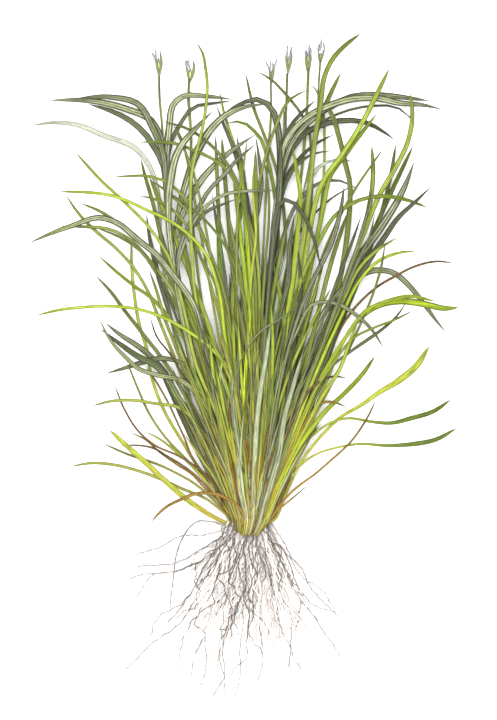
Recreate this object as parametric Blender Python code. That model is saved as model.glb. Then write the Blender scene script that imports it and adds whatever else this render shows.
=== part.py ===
"""Japanese blyxa, a grassy water plant, lifted out with its roots and laid on a flat surface.

The leaves point along +Y and the roots along -Y, and the surface is at z = 0. The origin is on
the surface, under the crown. Each leaf, flower stalk, flower and strong root that shows by
itself is its own thin solid. The many leaves between them, and the fine roots, are bundles with
a flat underside. Leaves lie over each other as they do in a real tuft: each one is laid on the
pile that is already there, and its tip comes down to the surface.
"""

import math

import bmesh
import bpy
import numpy as np

MM = 0.001

# driving dimensions, in millimetres
GAP = 0.35                 # left between one piece and the next
LEAF_THICKNESS = 0.45
BLADE_STEPS = 17           # straight pieces along one blade
STALK_STEPS = 14
DARK_WIDTH = 2.5
BAND_WIDTH = 2.9
PALE_WIDTH = 2.1
LIME_WIDTH = 1.7
THIN_WIDTH = 1.1
YELLOW_WIDTH = 2.3
BROWN_WIDTH = 0.9
STALK_WIDTH = 1.0
ROOT_WIDTH = 0.9
CROWN_SIZE = (8.4, 4.0, 6.8)      # half the length, width and height of the whole ovoid
CROWN_CENTRE = (-0.4, -2.2, 4.6)
BOW_RADIUS = 800.0         # how a springy blade arches where nothing holds it down
BASE_SHARE = 0.42          # a blade's width at the crown, of its full width
TIP_SHARE = 0.3            # and at its tip

# the pile's plan, in millimetres
PLAN_LOW = np.array([-90.0, -70.0])
PLAN_HIGH = np.array([85.0, 180.0])
CELL = 0.3
SIDE_MARGIN = 0.3

# the bundles of inner leaves, as slices of a fan with its middle below the crown
LEAF_FAN_CENTRE = (0.0, -10.0)
LEAF_FAN_START = 13.6
LEAF_BUNDLES = [
    # left edge and right edge in degrees from +Y, how far it reaches, and its height at the crown
    (-50.0, -41.0, 63.0, 2.8),
    (-41.0, -29.5, 87.0, 3.6),
    (-29.5, -18.5, 120.0, 4.6),
    (-18.5, -7.5, 146.0, 5.2),
    (-7.5, 9.0, 152.0, 5.6),
    (9.0, 19.0, 147.0, 5.2),
    (19.0, 28.0, 121.0, 4.6),
    (28.0, 40.0, 78.0, 3.4),
]

# the bundles of fine roots, in degrees from -Y towards -X
ROOT_FAN_CENTRE = (0.0, 7.0)
ROOT_FAN_START = 14.2
ROOT_BUNDLES = [
    (42.0, 58.0, 47.0, 2.6),
    (18.0, 42.0, 69.0, 3.4),
    (-9.0, 18.0, 64.0, 3.8),
    (-42.0, -9.0, 57.0, 3.2),
]

# routes in plan, in millimetres, from the crown to the tip, in the order they are laid
STALK_ROUTES = [
    [(-5.2, 4), (-9, 18), (-14, 36), (-18.5, 54), (-22.5, 74), (-26, 95), (-28.6, 113),
     (-29.6, 127.7), (-30, 133.5), (-30.8, 142), (-31, 149.5)],
    [(-2.8, 4), (-6.2, 20), (-11, 42), (-15, 64), (-18.5, 88), (-20.3, 110), (-20.4, 131.5),
     (-21.2, 143), (-21, 148.6)],
    [(-0.6, 4), (0, 22), (1.4, 46), (2.8, 72), (4, 98), (5.2, 122), (6.3, 140), (6.2, 147.3)],
    [(1.6, 4), (2.8, 22), (4.5, 46), (6.5, 72), (8.7, 98), (10.5, 122), (11.3, 139),
     (11.7, 150.3)],
    [(3.8, 4), (5.8, 22), (8.5, 46), (11, 70), (14, 95), (16.5, 118), (18, 135), (18.5, 146.5),
     (18.7, 152.2)],
    [(6, 4), (8.5, 22), (11.5, 46), (14.6, 70), (17.8, 95), (20, 118), (21.6, 135),
     (22.1, 146.2), (22.7, 154.9)],
]

# the leaves that stay narrow, with an edge up, until they arch over
ARCHED = ("dark_leaf_01", "dark_leaf_02", "dark_leaf_03", "dark_leaf_04", "dark_leaf_05",
          "dark_leaf_06", "dark_leaf_07", "pale_leaf_01", "green_leaf_09", "green_leaf_11",
          "green_leaf_12", "yellow_leaf_01")

# each flower's foot and top in plan, and its width
FLOWERS = [
    ((-31.0, 150.2), (-31.9, 158.5), 3.4),
    ((-21.0, 149.3), (-20.6, 155.4), 3.2),
    ((6.2, 148.0), (6.4, 155.2), 4.2),
    ((11.7, 151.0), (12.4, 160.2), 2.6),
    ((18.7, 152.9), (18.5, 160.3), 2.6),
    ((22.7, 155.6), (22.9, 162.2), 2.8),
]

LEAVES = [
    ("pale_leaf_01", "pale", PALE_WIDTH,
     [(-8.4, 4), (-12.2, 15), (-17, 30), (-21.5, 46), (-25.5, 62), (-28.5, 79), (-30.3, 96),
      (-31.5, 112), (-33.8, 118.8), (-38, 124.6), (-50, 129.8), (-58.5, 133.3), (-65.4, 134),
      (-74.2, 133.1)]),
    ("dark_leaf_02", "dark", DARK_WIDTH,
     [(-6, 4), (-9.6, 16), (-14, 31), (-18.4, 45), (-21.8, 60), (-24.6, 75), (-26.9, 90),
      (-28.2, 105), (-28.9, 120), (-30.3, 129), (-33.5, 134.4), (-41.5, 138.1), (-49.6, 140.4),
      (-56, 141.3), (-68, 141.5)]),
    ("dark_leaf_04", "dark", DARK_WIDTH,
     [(-3.4, 4), (-6.6, 18), (-11.2, 34), (-16.8, 48), (-21.6, 63), (-25, 80), (-27.4, 98),
      (-28.2, 118), (-27.4, 131.5), (-25.4, 140.4), (-23, 142.1), (-15, 142.3), (-6, 141.3)]),
    ("dark_leaf_05", "dark", BAND_WIDTH,
     [(-1, 4), (-4.4, 20), (-9.5, 37), (-16.4, 50), (-21.4, 66), (-24.8, 82), (-25.6, 93),
      (-24.2, 104), (-21.5, 114.6), (-17.3, 125.4), (-12.3, 132.7), (-7.7, 136.5), (-1.9, 138.8),
      (4.5, 139.6)]),
    ("dark_leaf_01", "dark", DARK_WIDTH,
     [(1.4, 4), (2.4, 20), (4, 42), (5, 66), (6, 90), (8.5, 112), (11.9, 128.5), (18.5, 135.4),
      (25, 138.8), (32.7, 141.2), (42, 141.5), (48.8, 140), (56.5, 139.6), (63.5, 138.1)]),
    ("green_leaf_05", "lime", LIME_WIDTH,
     [(3.8, 4), (6.6, 22), (10.5, 45), (14.5, 70), (18.5, 95), (23.5, 114), (29.6, 122.7),
      (37.7, 135.8), (41.5, 143.5), (45.4, 151.5)]),
    ("dark_leaf_09", "dark", BAND_WIDTH,
     [(6.2, 4), (10.4, 22), (15.5, 40), (21.5, 58), (28.5, 74), (35, 88), (43.1, 99.6),
      (47.7, 106.9), (51.5, 114.6), (54, 121.3)]),
    ("green_leaf_06", "lime", LIME_WIDTH,
     [(8.5, 4), (13, 22), (18.5, 42), (24, 62), (31, 82), (36, 95), (42.7, 110.8),
      (47.3, 118.5), (51.2, 126.5), (52.9, 135.4), (52.3, 143.5)]),
    ("green_leaf_08", "lime", THIN_WIDTH,
     [(-8.6, 4), (-14.5, 14), (-22.3, 26.5), (-29.6, 39.2), (-33.8, 51.5), (-34.6, 57.3),
      (-37.3, 66.2), (-39.2, 76.9), (-40, 85.4), (-40.2, 95.4)]),
    ("green_leaf_07", "lime", THIN_WIDTH,
     [(-6.3, 4), (-11.5, 20), (-19, 38), (-25, 54), (-30.4, 67.3), (-35, 78.8), (-40, 86.5),
      (-45.4, 92.3), (-52.3, 98.1), (-58.1, 104.2), (-62.1, 110)]),
    ("dark_leaf_03", "dark", DARK_WIDTH,
     [(-4, 4), (-7.4, 16), (-11.8, 30), (-16.6, 43), (-20.4, 55), (-23.4, 68), (-25.8, 82),
      (-27.6, 97), (-28.5, 112), (-29.5, 123.8), (-32.7, 131.5), (-37.7, 139.6), (-47, 142),
      (-60, 141.5)]),
    ("dark_leaf_07", "dark", DARK_WIDTH,
     [(-1.6, 4), (-5, 20), (-10.5, 38), (-18.4, 54), (-22.8, 68), (-25.6, 85), (-24.8, 97),
      (-21.4, 106.4), (-16, 115.2), (-9.8, 121.6), (-3.5, 126.5), (1.2, 129.7)]),
    ("green_leaf_04", "lime", LIME_WIDTH,
     [(0.8, 4), (3.2, 20), (8.5, 40), (12, 62), (15.5, 85), (18.5, 108), (20.8, 129),
      (22.7, 140.8), (23.7, 148.1), (26.9, 155), (31.5, 160), (36.3, 163.8)]),
    ("dark_leaf_11", "dark", PALE_WIDTH,
     [(3.2, 4), (6.2, 20), (11, 40), (18, 58), (26, 74), (33.5, 81.5), (39.6, 84.4),
      (46.5, 83.8), (51.9, 79.6), (56.2, 74.6), (60, 69.6), (64.8, 63.8)]),
    ("brown_leaf_01", "brown", BROWN_WIDTH,
     [(5.6, 4), (10.4, 20), (18, 36), (24, 52), (30, 67), (35, 73.5), (40.8, 78.8),
      (47.3, 82.7), (53.5, 85.8), (61.9, 87.7), (67.5, 87.1)]),
    ("green_leaf_09", "lime", YELLOW_WIDTH,
     [(7.8, 4), (13, 18), (18.5, 33), (24.5, 48), (30, 61.2), (36.5, 69.6), (41.2, 72.7),
      (48.8, 74.4), (56.5, 73.5), (64.2, 72.1), (68.8, 72.5)]),
    ("brown_leaf_02", "brown", BROWN_WIDTH,
     [(-8.7, 4), (-13.5, 15.4), (-20, 20.8), (-25, 23.7), (-31.5, 26.5), (-37.7, 31.5),
      (-42.3, 38.5), (-46, 47.3)]),
    ("dark_leaf_13", "dark", DARK_WIDTH,
     [(-6.4, 4), (-9.2, 13), (-12, 22), (-16.2, 29.6), (-20, 36.2), (-24.2, 42.3),
      (-28.1, 49.2), (-31.9, 53.4), (-37.3, 56), (-42.7, 59.6), (-50.8, 65.6)]),
    ("dark_leaf_06", "dark", BAND_WIDTH,
     [(-3.8, 4), (-7.2, 16), (-12.4, 29), (-16.2, 41), (-19.8, 54.6), (-22, 64),
      (-24, 73.8), (-25.8, 85.4), (-27.4, 100.8), (-26.9, 113), (-24.2, 123.8), (-17.3, 132.7),
      (-13, 137.5)]),
    ("green_leaf_01", "lime", THIN_WIDTH,
     [(-1.2, 4), (-4.6, 22), (-9.6, 45), (-17.5, 70), (-20, 95), (-19.2, 120), (-16.7, 129.2),
      (-15.2, 138), (-14.8, 146.9), (-15.4, 151.5), (-16.3, 156.5), (-18.7, 161)]),
    ("dark_leaf_10", "dark", PALE_WIDTH,
     [(4, 4), (8.8, 20), (17, 36), (23.5, 54), (31.5, 74.6), (38.8, 88.5), (43.5, 95.4),
      (48.1, 101.9), (53.5, 106.9), (59.6, 112.7)]),
    ("green_leaf_12", "lime", LIME_WIDTH,
     [(6.2, 4), (9.6, 13.5), (15, 19.6), (20.8, 23.8), (28.1, 26.2), (35.8, 27.3),
      (44.2, 26.7), (52.7, 27.1), (61.2, 28.7), (68.1, 32.3)]),
    ("yellow_leaf_01", "yellow", YELLOW_WIDTH,
     [(8.5, 4), (11.6, 12), (16.2, 21.5), (22.7, 30), (29.2, 36.2), (35.8, 40), (41.9, 44.2),
      (48.5, 48.1), (54.2, 52.7), (59, 59.6)]),
    ("green_leaf_14", "lime", THIN_WIDTH,
     [(-8.8, 4), (-15, 9), (-23.5, 12.7), (-30, 15.6), (-37.7, 18.3), (-45.4, 20.2),
      (-53.1, 20.8), (-60.4, 19.6)]),
    ("green_leaf_13", "lime", THIN_WIDTH,
     [(-6.6, 4), (-10.6, 18), (-16, 31), (-24.6, 39.6), (-31.5, 40.6), (-39.2, 41.7),
      (-47.3, 41.3), (-53.5, 39.6)]),
    ("dark_leaf_12", "dark", LIME_WIDTH,
     [(-4.4, 4), (-7.4, 18), (-11.6, 32), (-16.5, 42), (-23.1, 48.2), (-31.5, 50.2),
      (-36.9, 51.9), (-41.5, 55.8), (-46.2, 60.8), (-51, 69.4)]),
    ("green_leaf_02", "lime", THIN_WIDTH,
     [(-2.2, 4), (-6.2, 20), (-12, 38), (-18.5, 54), (-22.5, 72), (-28, 90), (-33.8, 98.5),
      (-41.5, 106.5), (-50, 114.4), (-59, 124.4)]),
    ("dark_leaf_08", "dark", PALE_WIDTH,
     [(0.2, 4), (-2.6, 20), (-8, 38), (-15, 56), (-19.2, 73), (-26.2, 83.1), (-31.5, 89.6),
      (-37.7, 94.6), (-44.2, 100), (-50, 101.9), (-59.6, 99.4), (-66.5, 97.1), (-74.8, 93.7)]),
    ("green_leaf_03", "lime", THIN_WIDTH,
     [(2.4, 4), (0.2, 20), (-3.6, 40), (-8.5, 60), (-11, 78), (-15.4, 90), (-25.4, 99.6),
      (-33.8, 103.8), (-45.4, 108.8), (-55, 110.4), (-64.6, 111)]),
    ("green_leaf_11", "lime", LIME_WIDTH,
     [(6.8, 4), (9.6, 14), (12, 22), (20, 30.4), (25.8, 34.4), (31.5, 35.8), (39.6, 34.6),
      (45.8, 34.2), (52.7, 35.8), (60.4, 38.1), (66.3, 41.9)]),
    ("green_leaf_10", "lime", THIN_WIDTH,
     [(4.6, 4), (2.6, 20), (-0.4, 35), (-4.6, 46), (-9.6, 54.6), (-21.2, 64.6), (-28.8, 68.8),
      (-36.5, 71.5), (-45.4, 72.7), (-55, 72.5), (-64.6, 71.5), (-72.1, 69.8)]),
    ("yellow_leaf_02", "yellow", YELLOW_WIDTH,
     [(-7.6, 0.4), (-10.2, 1.6), (-13.2, 3.2), (-17.4, 6), (-21.8, 9.2), (-29.7, 16),
      (-35, 20.9), (-40.9, 26), (-47.7, 31.9)]),
    ("brown_leaf_03", "brown", THIN_WIDTH,
     [(-3, 4.4), (-4.6, 6.8), (-8.1, 9.4), (-11, 10.7), (-15, 11.3), (-19.6, 10.7),
      (-23.7, 8.9), (-27.7, 6.9), (-31.1, 4), (-33.7, 0.9)]),
]

ROOT_ROUTES = [
    [(-2.3, -9.8), (-2.6, -14), (-1.9, -19.6), (-2.3, -26), (-1.1, -32.3), (-1.4, -38),
     (-2.3, -43.3), (-4.8, -46.6), (-6.6, -50.2)],
    [(-9.8, -6), (-12.7, -8.2), (-15.4, -12), (-17, -16), (-18.5, -19.6), (-19.6, -22.6),
     (-21.9, -24.8), (-25, -28.6), (-28.6, -31.5)],
]

COLOURS = {
    "dark": (0.10, 0.125, 0.075),
    "pale": (0.40, 0.44, 0.33),
    "lime": (0.33, 0.47, 0.05),
    "yellow": (0.52, 0.60, 0.06),
    "brown": (0.23, 0.11, 0.04),
    "bundle": (0.24, 0.33, 0.06),
    "stalk": (0.28, 0.38, 0.07),
    "flower": (0.55, 0.55, 0.50),
    "root": (0.38, 0.32, 0.29),
    "crown": (0.16, 0.10, 0.06),
}


def smooth_route(points, steps):
    """A smooth curve through the points, read at equal steps of its length."""
    points = np.array(points, dtype=float)
    length = np.linalg.norm(np.diff(points, axis=0), axis=1)[:, None]
    slope = np.diff(points, axis=0) / length
    inner = (slope[:-1] * length[1:] + slope[1:] * length[:-1]) / (length[1:] + length[:-1])
    tangent = np.vstack([slope[:1], inner, slope[-1:]])
    t = np.linspace(0, 1, 25)[None, :, None]
    start, end = points[:-1, None], points[1:, None]
    leave, arrive = (tangent[:-1] * length)[:, None], (tangent[1:] * length)[:, None]
    fine = ((1 + 2 * t) * (1 - t) ** 2 * start + t * (1 - t) ** 2 * leave
            + t * t * (3 - 2 * t) * end + t * t * (t - 1) * arrive).reshape(-1, 2)
    travelled = np.append(0, np.cumsum(np.linalg.norm(np.diff(fine, axis=0), axis=1)))
    wanted = np.linspace(0, travelled[-1], steps + 1)
    return np.column_stack([np.interp(wanted, travelled, fine[:, k]) for k in (0, 1)])


def blade_shares(steps, arched=False):
    """A blade's width along its length: narrow at the crown, then full, then a short tip.

    An arched blade stays narrow, with its edge up, until it arches over.
    """
    s = np.linspace(0, 1, steps + 1)
    if arched:
        grown = np.minimum(s / 0.82, 1) ** 5
    else:
        grown = np.sin(math.pi / 2 * np.minimum(s / 0.4, 1))
    widening = BASE_SHARE + (1 - BASE_SHARE) * grown
    narrowing = 1 - (np.maximum(s - 0.4, 0) / 0.6) ** 10
    return np.maximum(widening * narrowing, TIP_SHARE)


class Pile:
    """The height of what already lies there, over a fine grid in plan."""

    def __init__(self):
        columns, rows = np.ceil((PLAN_HIGH - PLAN_LOW) / CELL).astype(int)
        self.top = np.zeros((columns, rows))

    def cells(self, plan):
        index = np.floor((plan - PLAN_LOW) / CELL).astype(int)
        return index[..., 0], index[..., 1]

    def footprint(self, route, half):
        """Points all over the strip: straight piece, step along it, step across it, x and y."""
        along = np.linspace(0, 1, 39)[None, :, None, None]
        across = np.linspace(-1, 1, 15)[None, None, :, None]
        step = np.diff(route, axis=0)
        side = np.column_stack([-step[:, 1], step[:, 0]]) / np.linalg.norm(step, axis=1)[:, None]
        middle = route[:-1, None, None] + along * step[:, None, None]
        reach = half[:-1, None, None, None] * (1 - along) + half[1:, None, None, None] * along
        return middle + across * (reach + SIDE_MARGIN) * side[:, None, None]

    def lay(self, route, half, thickness, bow_radius=BOW_RADIUS):
        """Lay a strip on the pile and return its height at each point of the route."""
        spots = self.cells(self.footprint(route, half))
        under = self.top[spots].max(axis=(1, 2))
        beside = np.maximum(np.append(under, under[-1]), np.append(under[0], under))
        lowest = beside + GAP + thickness / 2
        step = np.linalg.norm(route[1] - route[0])
        bow = step * step / (2 * bow_radius)
        height = lowest.copy()
        for _ in range(900):
            height[1:-1] = np.maximum(lowest[1:-1], (height[:-2] + height[2:]) / 2 + bow)
        over = np.maximum(height[:-1], height[1:]) + thickness / 2
        np.maximum.at(self.top, spots, np.broadcast_to(over[:, None, None], spots[0].shape))
        return height

    def add_surface(self, plan, height):
        """Raise the pile to a solid's top, given at points closer than a cell."""
        np.maximum.at(self.top, self.cells(plan), height)


def material(name):
    found = bpy.data.materials.get(name)
    if found:
        return found
    made = bpy.data.materials.new(name)
    made.use_nodes = True
    shader = made.node_tree.nodes["Principled BSDF"]
    shader.inputs["Base Color"].default_value = (*COLOURS[name], 1)
    shader.inputs["Roughness"].default_value = 0.6
    shader.inputs["Metallic"].default_value = 0.0
    return made


def strip_profile(name, width, thickness, cutters):
    """The cross-section of a strip: a flat diamond, as a closed curve."""
    outline = bpy.data.curves.new(name, "CURVE")
    outline.dimensions = "2D"
    spline = outline.splines.new("POLY")
    spline.points.add(3)
    half, rise = width / 2 * MM, thickness / 2 * MM
    corners = [(half, 0), (0, -rise), (-half, 0), (0, rise)]
    for point, (x, y) in zip(spline.points, corners):
        point.co = (x, y, 0, 1)
    spline.use_cyclic_u = True
    shape = bpy.data.objects.new(name, outline)
    shape.hide_render = True
    shape.display_type = "WIRE"
    cutters.objects.link(shape)
    return shape


def strip(name, route, height, shares, profile, colour, parts):
    """A thin solid along the route: the profile, carried level and scaled at each point."""
    path = bpy.data.curves.new(name, "CURVE")
    path.dimensions = "3D"
    path.twist_mode = "Z_UP"
    path.bevel_mode = "OBJECT"
    path.bevel_object = profile
    path.use_fill_caps = True
    spline = path.splines.new("POLY")
    spline.points.add(len(route) - 1)
    for point, (x, y), z, share in zip(spline.points, route, height, shares):
        point.co = (x * MM, y * MM, z * MM, 1)
        point.radius = share
    path.materials.append(material(colour))
    piece = bpy.data.objects.new(name, path)
    parts.objects.link(piece)
    return piece


def fan_slice(centre, start, reach, left, right, along, across):
    """Where a point of a fan slice lies in plan, and its share of the full height.

    along runs from 0 at the crown to 1 at the tips, across from -1 to 1. The slice keeps half
    a gap to its neighbours and narrows to a point at the tips.
    """
    radius = start + (reach - start) * along
    half = math.radians(right - left) / 2 - GAP / radius
    narrow = np.maximum(np.sqrt(np.maximum(1 - along ** 3, 0)), 0.05)
    angle = math.radians((left + right) / 2) + across * half * narrow
    plan = np.stack([centre[0] + radius * np.sin(angle), centre[1] + radius * np.cos(angle)], -1)
    share = (1 - along ** 1.6) * (1 - 0.3 * across ** 2) + 0.12
    return plan, share


def bundle(name, centre, start, slice_of_fan, colour, pile, parts, turned=False):
    """A bundle of leaves or fine roots: a fan slice with a flat underside and a domed top."""
    left, right, reach, height = slice_of_fan
    sign = -1 if turned else 1

    def shape(along, across):
        return fan_slice((sign * centre[0], sign * centre[1]), start, reach, left, right,
                         along, across)

    mesh = bpy.data.meshes.new(name)
    bm = bmesh.new()
    bmesh.ops.create_grid(bm, x_segments=3, y_segments=10, size=1)
    lower = bm.faces[:]
    grown = bmesh.ops.extrude_face_region(bm, geom=lower, use_keep_orig=True)
    upper = {item for item in grown["geom"] if isinstance(item, bmesh.types.BMVert)}
    for vertex in bm.verts:
        plan, share = shape(np.array((vertex.co.y + 1) / 2), np.array(vertex.co.x))
        top = height * float(share) if vertex in upper else 0.0
        vertex.co = (sign * float(plan[0]) * MM, sign * float(plan[1]) * MM, top * MM)
    bmesh.ops.recalc_face_normals(bm, faces=bm.faces)
    bm.to_mesh(mesh)
    bm.free()
    mesh.materials.append(material(colour))
    parts.objects.link(bpy.data.objects.new(name, mesh))
    fine_along, fine_across = np.meshgrid(np.linspace(0, 1, 900), np.linspace(-1, 1, 150))
    plan, share = shape(fine_along, fine_across)
    pile.add_surface(sign * plan, height * share)


def crown(pile, parts):
    """The short knobbly stem: an ovoid, cut flat where it lies on the surface."""
    mesh = bpy.data.meshes.new("crown")
    bm = bmesh.new()
    bmesh.ops.create_uvsphere(bm, u_segments=16, v_segments=8, radius=1)
    bmesh.ops.scale(bm, verts=bm.verts, vec=[half * MM for half in CROWN_SIZE])
    bmesh.ops.translate(bm, verts=bm.verts, vec=[place * MM for place in CROWN_CENTRE])
    cut = bmesh.ops.bisect_plane(bm, geom=bm.verts[:] + bm.edges[:] + bm.faces[:],
                                 plane_co=(0, 0, 0), plane_no=(0, 0, 1), clear_inner=True)
    rim = [item for item in cut["geom_cut"] if isinstance(item, bmesh.types.BMEdge)]
    bmesh.ops.contextual_create(bm, geom=rim)
    bmesh.ops.recalc_face_normals(bm, faces=bm.faces)
    bm.to_mesh(mesh)
    bm.free()
    mesh.materials.append(material("crown"))
    parts.objects.link(bpy.data.objects.new("crown", mesh))
    across, along = np.meshgrid(np.linspace(-1, 1, 150), np.linspace(-1, 1, 90))
    inside = across ** 2 + along ** 2 < 1
    plan = np.stack([CROWN_CENTRE[0] + CROWN_SIZE[0] * across,
                     CROWN_CENTRE[1] + CROWN_SIZE[1] * along], -1)[inside]
    rise = CROWN_SIZE[2] * np.sqrt(1 - across ** 2 - along ** 2, where=inside,
                                   out=np.zeros_like(across))[inside]
    pile.add_surface(plan, CROWN_CENTRE[2] + rise)


def main():
    for leftover in list(bpy.data.objects):
        bpy.data.objects.remove(leftover, do_unlink=True)
    parts = bpy.data.collections.new("japanese_blyxa")
    cutters = bpy.data.collections.new("cross_sections")
    bpy.context.scene.collection.children.link(parts)
    bpy.context.scene.collection.children.link(cutters)
    pile = Pile()

    crown(pile, parts)
    for number, fan in enumerate(LEAF_BUNDLES, 1):
        bundle(f"inner_leaves_{number}", LEAF_FAN_CENTRE, LEAF_FAN_START, fan, "bundle", pile,
               parts)
    for number, fan in enumerate(ROOT_BUNDLES, 1):
        bundle(f"fine_roots_{number}", ROOT_FAN_CENTRE, ROOT_FAN_START, fan, "root", pile,
               parts, turned=True)

    stalk_profile = strip_profile("stalk_section", STALK_WIDTH, STALK_WIDTH, cutters)
    for number, points in enumerate(STALK_ROUTES, 1):
        route = smooth_route(points, STALK_STEPS)
        half = np.full(len(route), STALK_WIDTH / 2)
        height = pile.lay(route, half, STALK_WIDTH)
        strip(f"flower_stalk_{number}", route, height, np.ones(len(route)), stalk_profile,
              "stalk", parts)
    for number, (foot, top, width) in enumerate(FLOWERS, 1):
        route = smooth_route([foot, top], 4)
        shares = np.array([0.3, 0.42, 0.68, 0.94, 1.0])
        height = pile.lay(route, shares * width / 2, width * 0.6)
        strip(f"flower_{number}", route, height, shares,
              strip_profile(f"flower_section_{number}", width, width * 0.6, cutters),
              "flower", parts)

    profiles = {}
    for name, colour, width, points in LEAVES:
        shares = blade_shares(BLADE_STEPS, name in ARCHED)
        if width not in profiles:
            profiles[width] = strip_profile(f"blade_section_{len(profiles)}", width,
                                            LEAF_THICKNESS, cutters)
        route = smooth_route(points, BLADE_STEPS)
        height = pile.lay(route, shares * width / 2, LEAF_THICKNESS)
        strip(name, route, height, shares, profiles[width], colour, parts)

    root_profile = strip_profile("root_section", ROOT_WIDTH, ROOT_WIDTH, cutters)
    for number, points in enumerate(ROOT_ROUTES, 1):
        route = smooth_route(points, STALK_STEPS)
        shares = np.linspace(1.0, 0.4, len(route))
        height = pile.lay(route, shares * ROOT_WIDTH / 2, ROOT_WIDTH)
        strip(f"strong_root_{number}", route, height, shares, root_profile, "root", parts)


main()
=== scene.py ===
# %% [markdown]
# # A japanese blyxa laid on a table
#
# This plant is a tuft of grassy leaves on one short crown, with six small flowers on thread-like
# stalks and a beard of fine roots. It has been lifted out and laid flat, with its leaves along
# +Y and its roots along -Y, and we look straight down on it.
#
# The lesson builds it from one idea used many times: a route on the table, a height for each
# point of that route, and a small closed cross-section carried along it.

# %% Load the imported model
import math

import bpy
import numpy as np
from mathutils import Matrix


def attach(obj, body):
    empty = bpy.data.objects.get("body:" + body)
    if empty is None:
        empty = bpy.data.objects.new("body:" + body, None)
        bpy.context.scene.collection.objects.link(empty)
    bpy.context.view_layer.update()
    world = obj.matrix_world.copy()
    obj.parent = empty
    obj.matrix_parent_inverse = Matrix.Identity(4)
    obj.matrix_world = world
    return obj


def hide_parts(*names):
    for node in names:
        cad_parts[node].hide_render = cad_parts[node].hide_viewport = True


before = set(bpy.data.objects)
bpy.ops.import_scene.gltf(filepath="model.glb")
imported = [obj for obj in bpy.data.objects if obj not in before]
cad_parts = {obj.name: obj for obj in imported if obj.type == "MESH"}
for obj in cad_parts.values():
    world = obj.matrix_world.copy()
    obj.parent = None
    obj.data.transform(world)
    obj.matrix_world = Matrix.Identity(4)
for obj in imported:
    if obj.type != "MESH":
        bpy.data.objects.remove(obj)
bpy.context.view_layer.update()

# %% [markdown]
# ## Sizes
#
# Lengths are in millimetres until a mesh is made, because a leaf is a few millimetres wide and
# such numbers are easier to read. The crown is at the origin, and the table is at z = 0.

# %% Sizes that everything else uses
MM = 0.001
GAP = 0.35
LEAF_THICKNESS = 0.45
BASE_SHARE = 0.42
DARK_WIDTH = 2.5
BAND_WIDTH = 2.9
PALE_WIDTH = 2.1
LIME_WIDTH = 1.7
THIN_WIDTH = 1.1
YELLOW_WIDTH = 2.3
BROWN_WIDTH = 0.9
STALK_WIDTH = 1.0
ROOT_WIDTH = 0.9
draws = np.random.default_rng(41)

# %% [markdown]
# ## Camera
#
# The drawing shows the plant upright, seen square on. Ours lies down, so the same view is from
# straight above. A long lens keeps the tall tuft from leaning outwards, and the picture's height
# covers 240 mm of table.

# %% Camera straight above the plant
VIEW_CENTRE = (-1.2, 55.0)
VIEW_HEIGHT = 240.0
CAMERA_HEIGHT = 900.0
SENSOR = 36.0

lens = bpy.data.cameras.new("camera")
lens.sensor_fit = "VERTICAL"
lens.sensor_height = SENSOR
lens.lens = SENSOR * CAMERA_HEIGHT / VIEW_HEIGHT
lens.clip_end = 10
camera = bpy.data.objects.new("camera", lens)
camera.location = (VIEW_CENTRE[0] * MM, VIEW_CENTRE[1] * MM, CAMERA_HEIGHT * MM)
bpy.context.scene.collection.objects.link(camera)
bpy.context.scene.camera = camera
print("lens in millimetres:", round(lens.lens, 1))

# %% [markdown]
# ## Table and light
#
# A pale table under a clear plant wants soft light from all over the sky and one large lamp, so
# that leaves get a lit side and a shaded side but throw no hard shadow.

# %% Table, sky and lamp
TABLE_HALF = 2.0
TABLE_COLOUR = (0.96, 0.96, 0.955)
SKY_STRENGTH = 1.3
LAMP_PLACE = (-0.14, 0.2, 1.25)
LAMP_AIM = (0, 0.05, 0)
LAMP_SIZE = 0.7
LAMP_POWER = 24.0


def new_material(name, roughness=None):
    """A material with nodes. Returns it, its node tree and its Principled BSDF."""
    made = bpy.data.materials.new(name)
    made.use_nodes = True
    shader = made.node_tree.nodes["Principled BSDF"]
    if roughness is not None:
        shader.inputs["Roughness"].default_value = roughness
    return made, made.node_tree, shader


pale_table, _, table_shader = new_material("pale_table", roughness=0.9)
table_shader.inputs["Base Color"].default_value = (*TABLE_COLOUR, 1)
table_mesh = bpy.data.meshes.new("table")
table_mesh.from_pydata([(x * TABLE_HALF, y * TABLE_HALF, 0)
                        for x, y in ((-1, -1), (1, -1), (1, 1), (-1, 1))], [], [(0, 1, 2, 3)])
table_mesh.materials.append(pale_table)
table = bpy.data.objects.new("table", table_mesh)
bpy.context.scene.collection.objects.link(table)

sky = bpy.data.worlds.new("soft_sky")
sky.use_nodes = True
background = sky.node_tree.nodes["Background"]
background.inputs["Color"].default_value = (1.0, 1.0, 1.0, 1)
background.inputs["Strength"].default_value = SKY_STRENGTH
bpy.context.scene.world = sky

light = bpy.data.lights.new("window_lamp", "AREA")
light.shape = "DISK"
light.size = LAMP_SIZE
light.energy = LAMP_POWER
lamp = bpy.data.objects.new("window_lamp", light)
lamp.location = LAMP_PLACE
away = np.subtract(LAMP_PLACE, LAMP_AIM)
lamp.rotation_euler = (math.atan2(math.hypot(away[0], away[1]), away[2]), 0,
                       math.atan2(away[0], -away[1]))
bpy.context.scene.collection.objects.link(lamp)
bpy.context.scene.view_settings.view_transform = "Standard"
bpy.context.scene.view_settings.look = "None"
print("lamp height in metres:", LAMP_PLACE[2], "sky strength:", SKY_STRENGTH)

# %% [markdown]
# ## Routes
#
# A leaf is drawn by a few points. A cubic curve through them, with a tangent at each point taken
# from its neighbours, gives the smooth route, and it is read at equal steps so that the blade's
# cross-sections are evenly spaced.

# %% Smooth routes in plan
READINGS = 25
FOOT_Y = 3.5
RAYS_MEET = 10.0
WIDEST_FOOT = 9.0
WIDEST_AIM = 0.75


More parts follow.
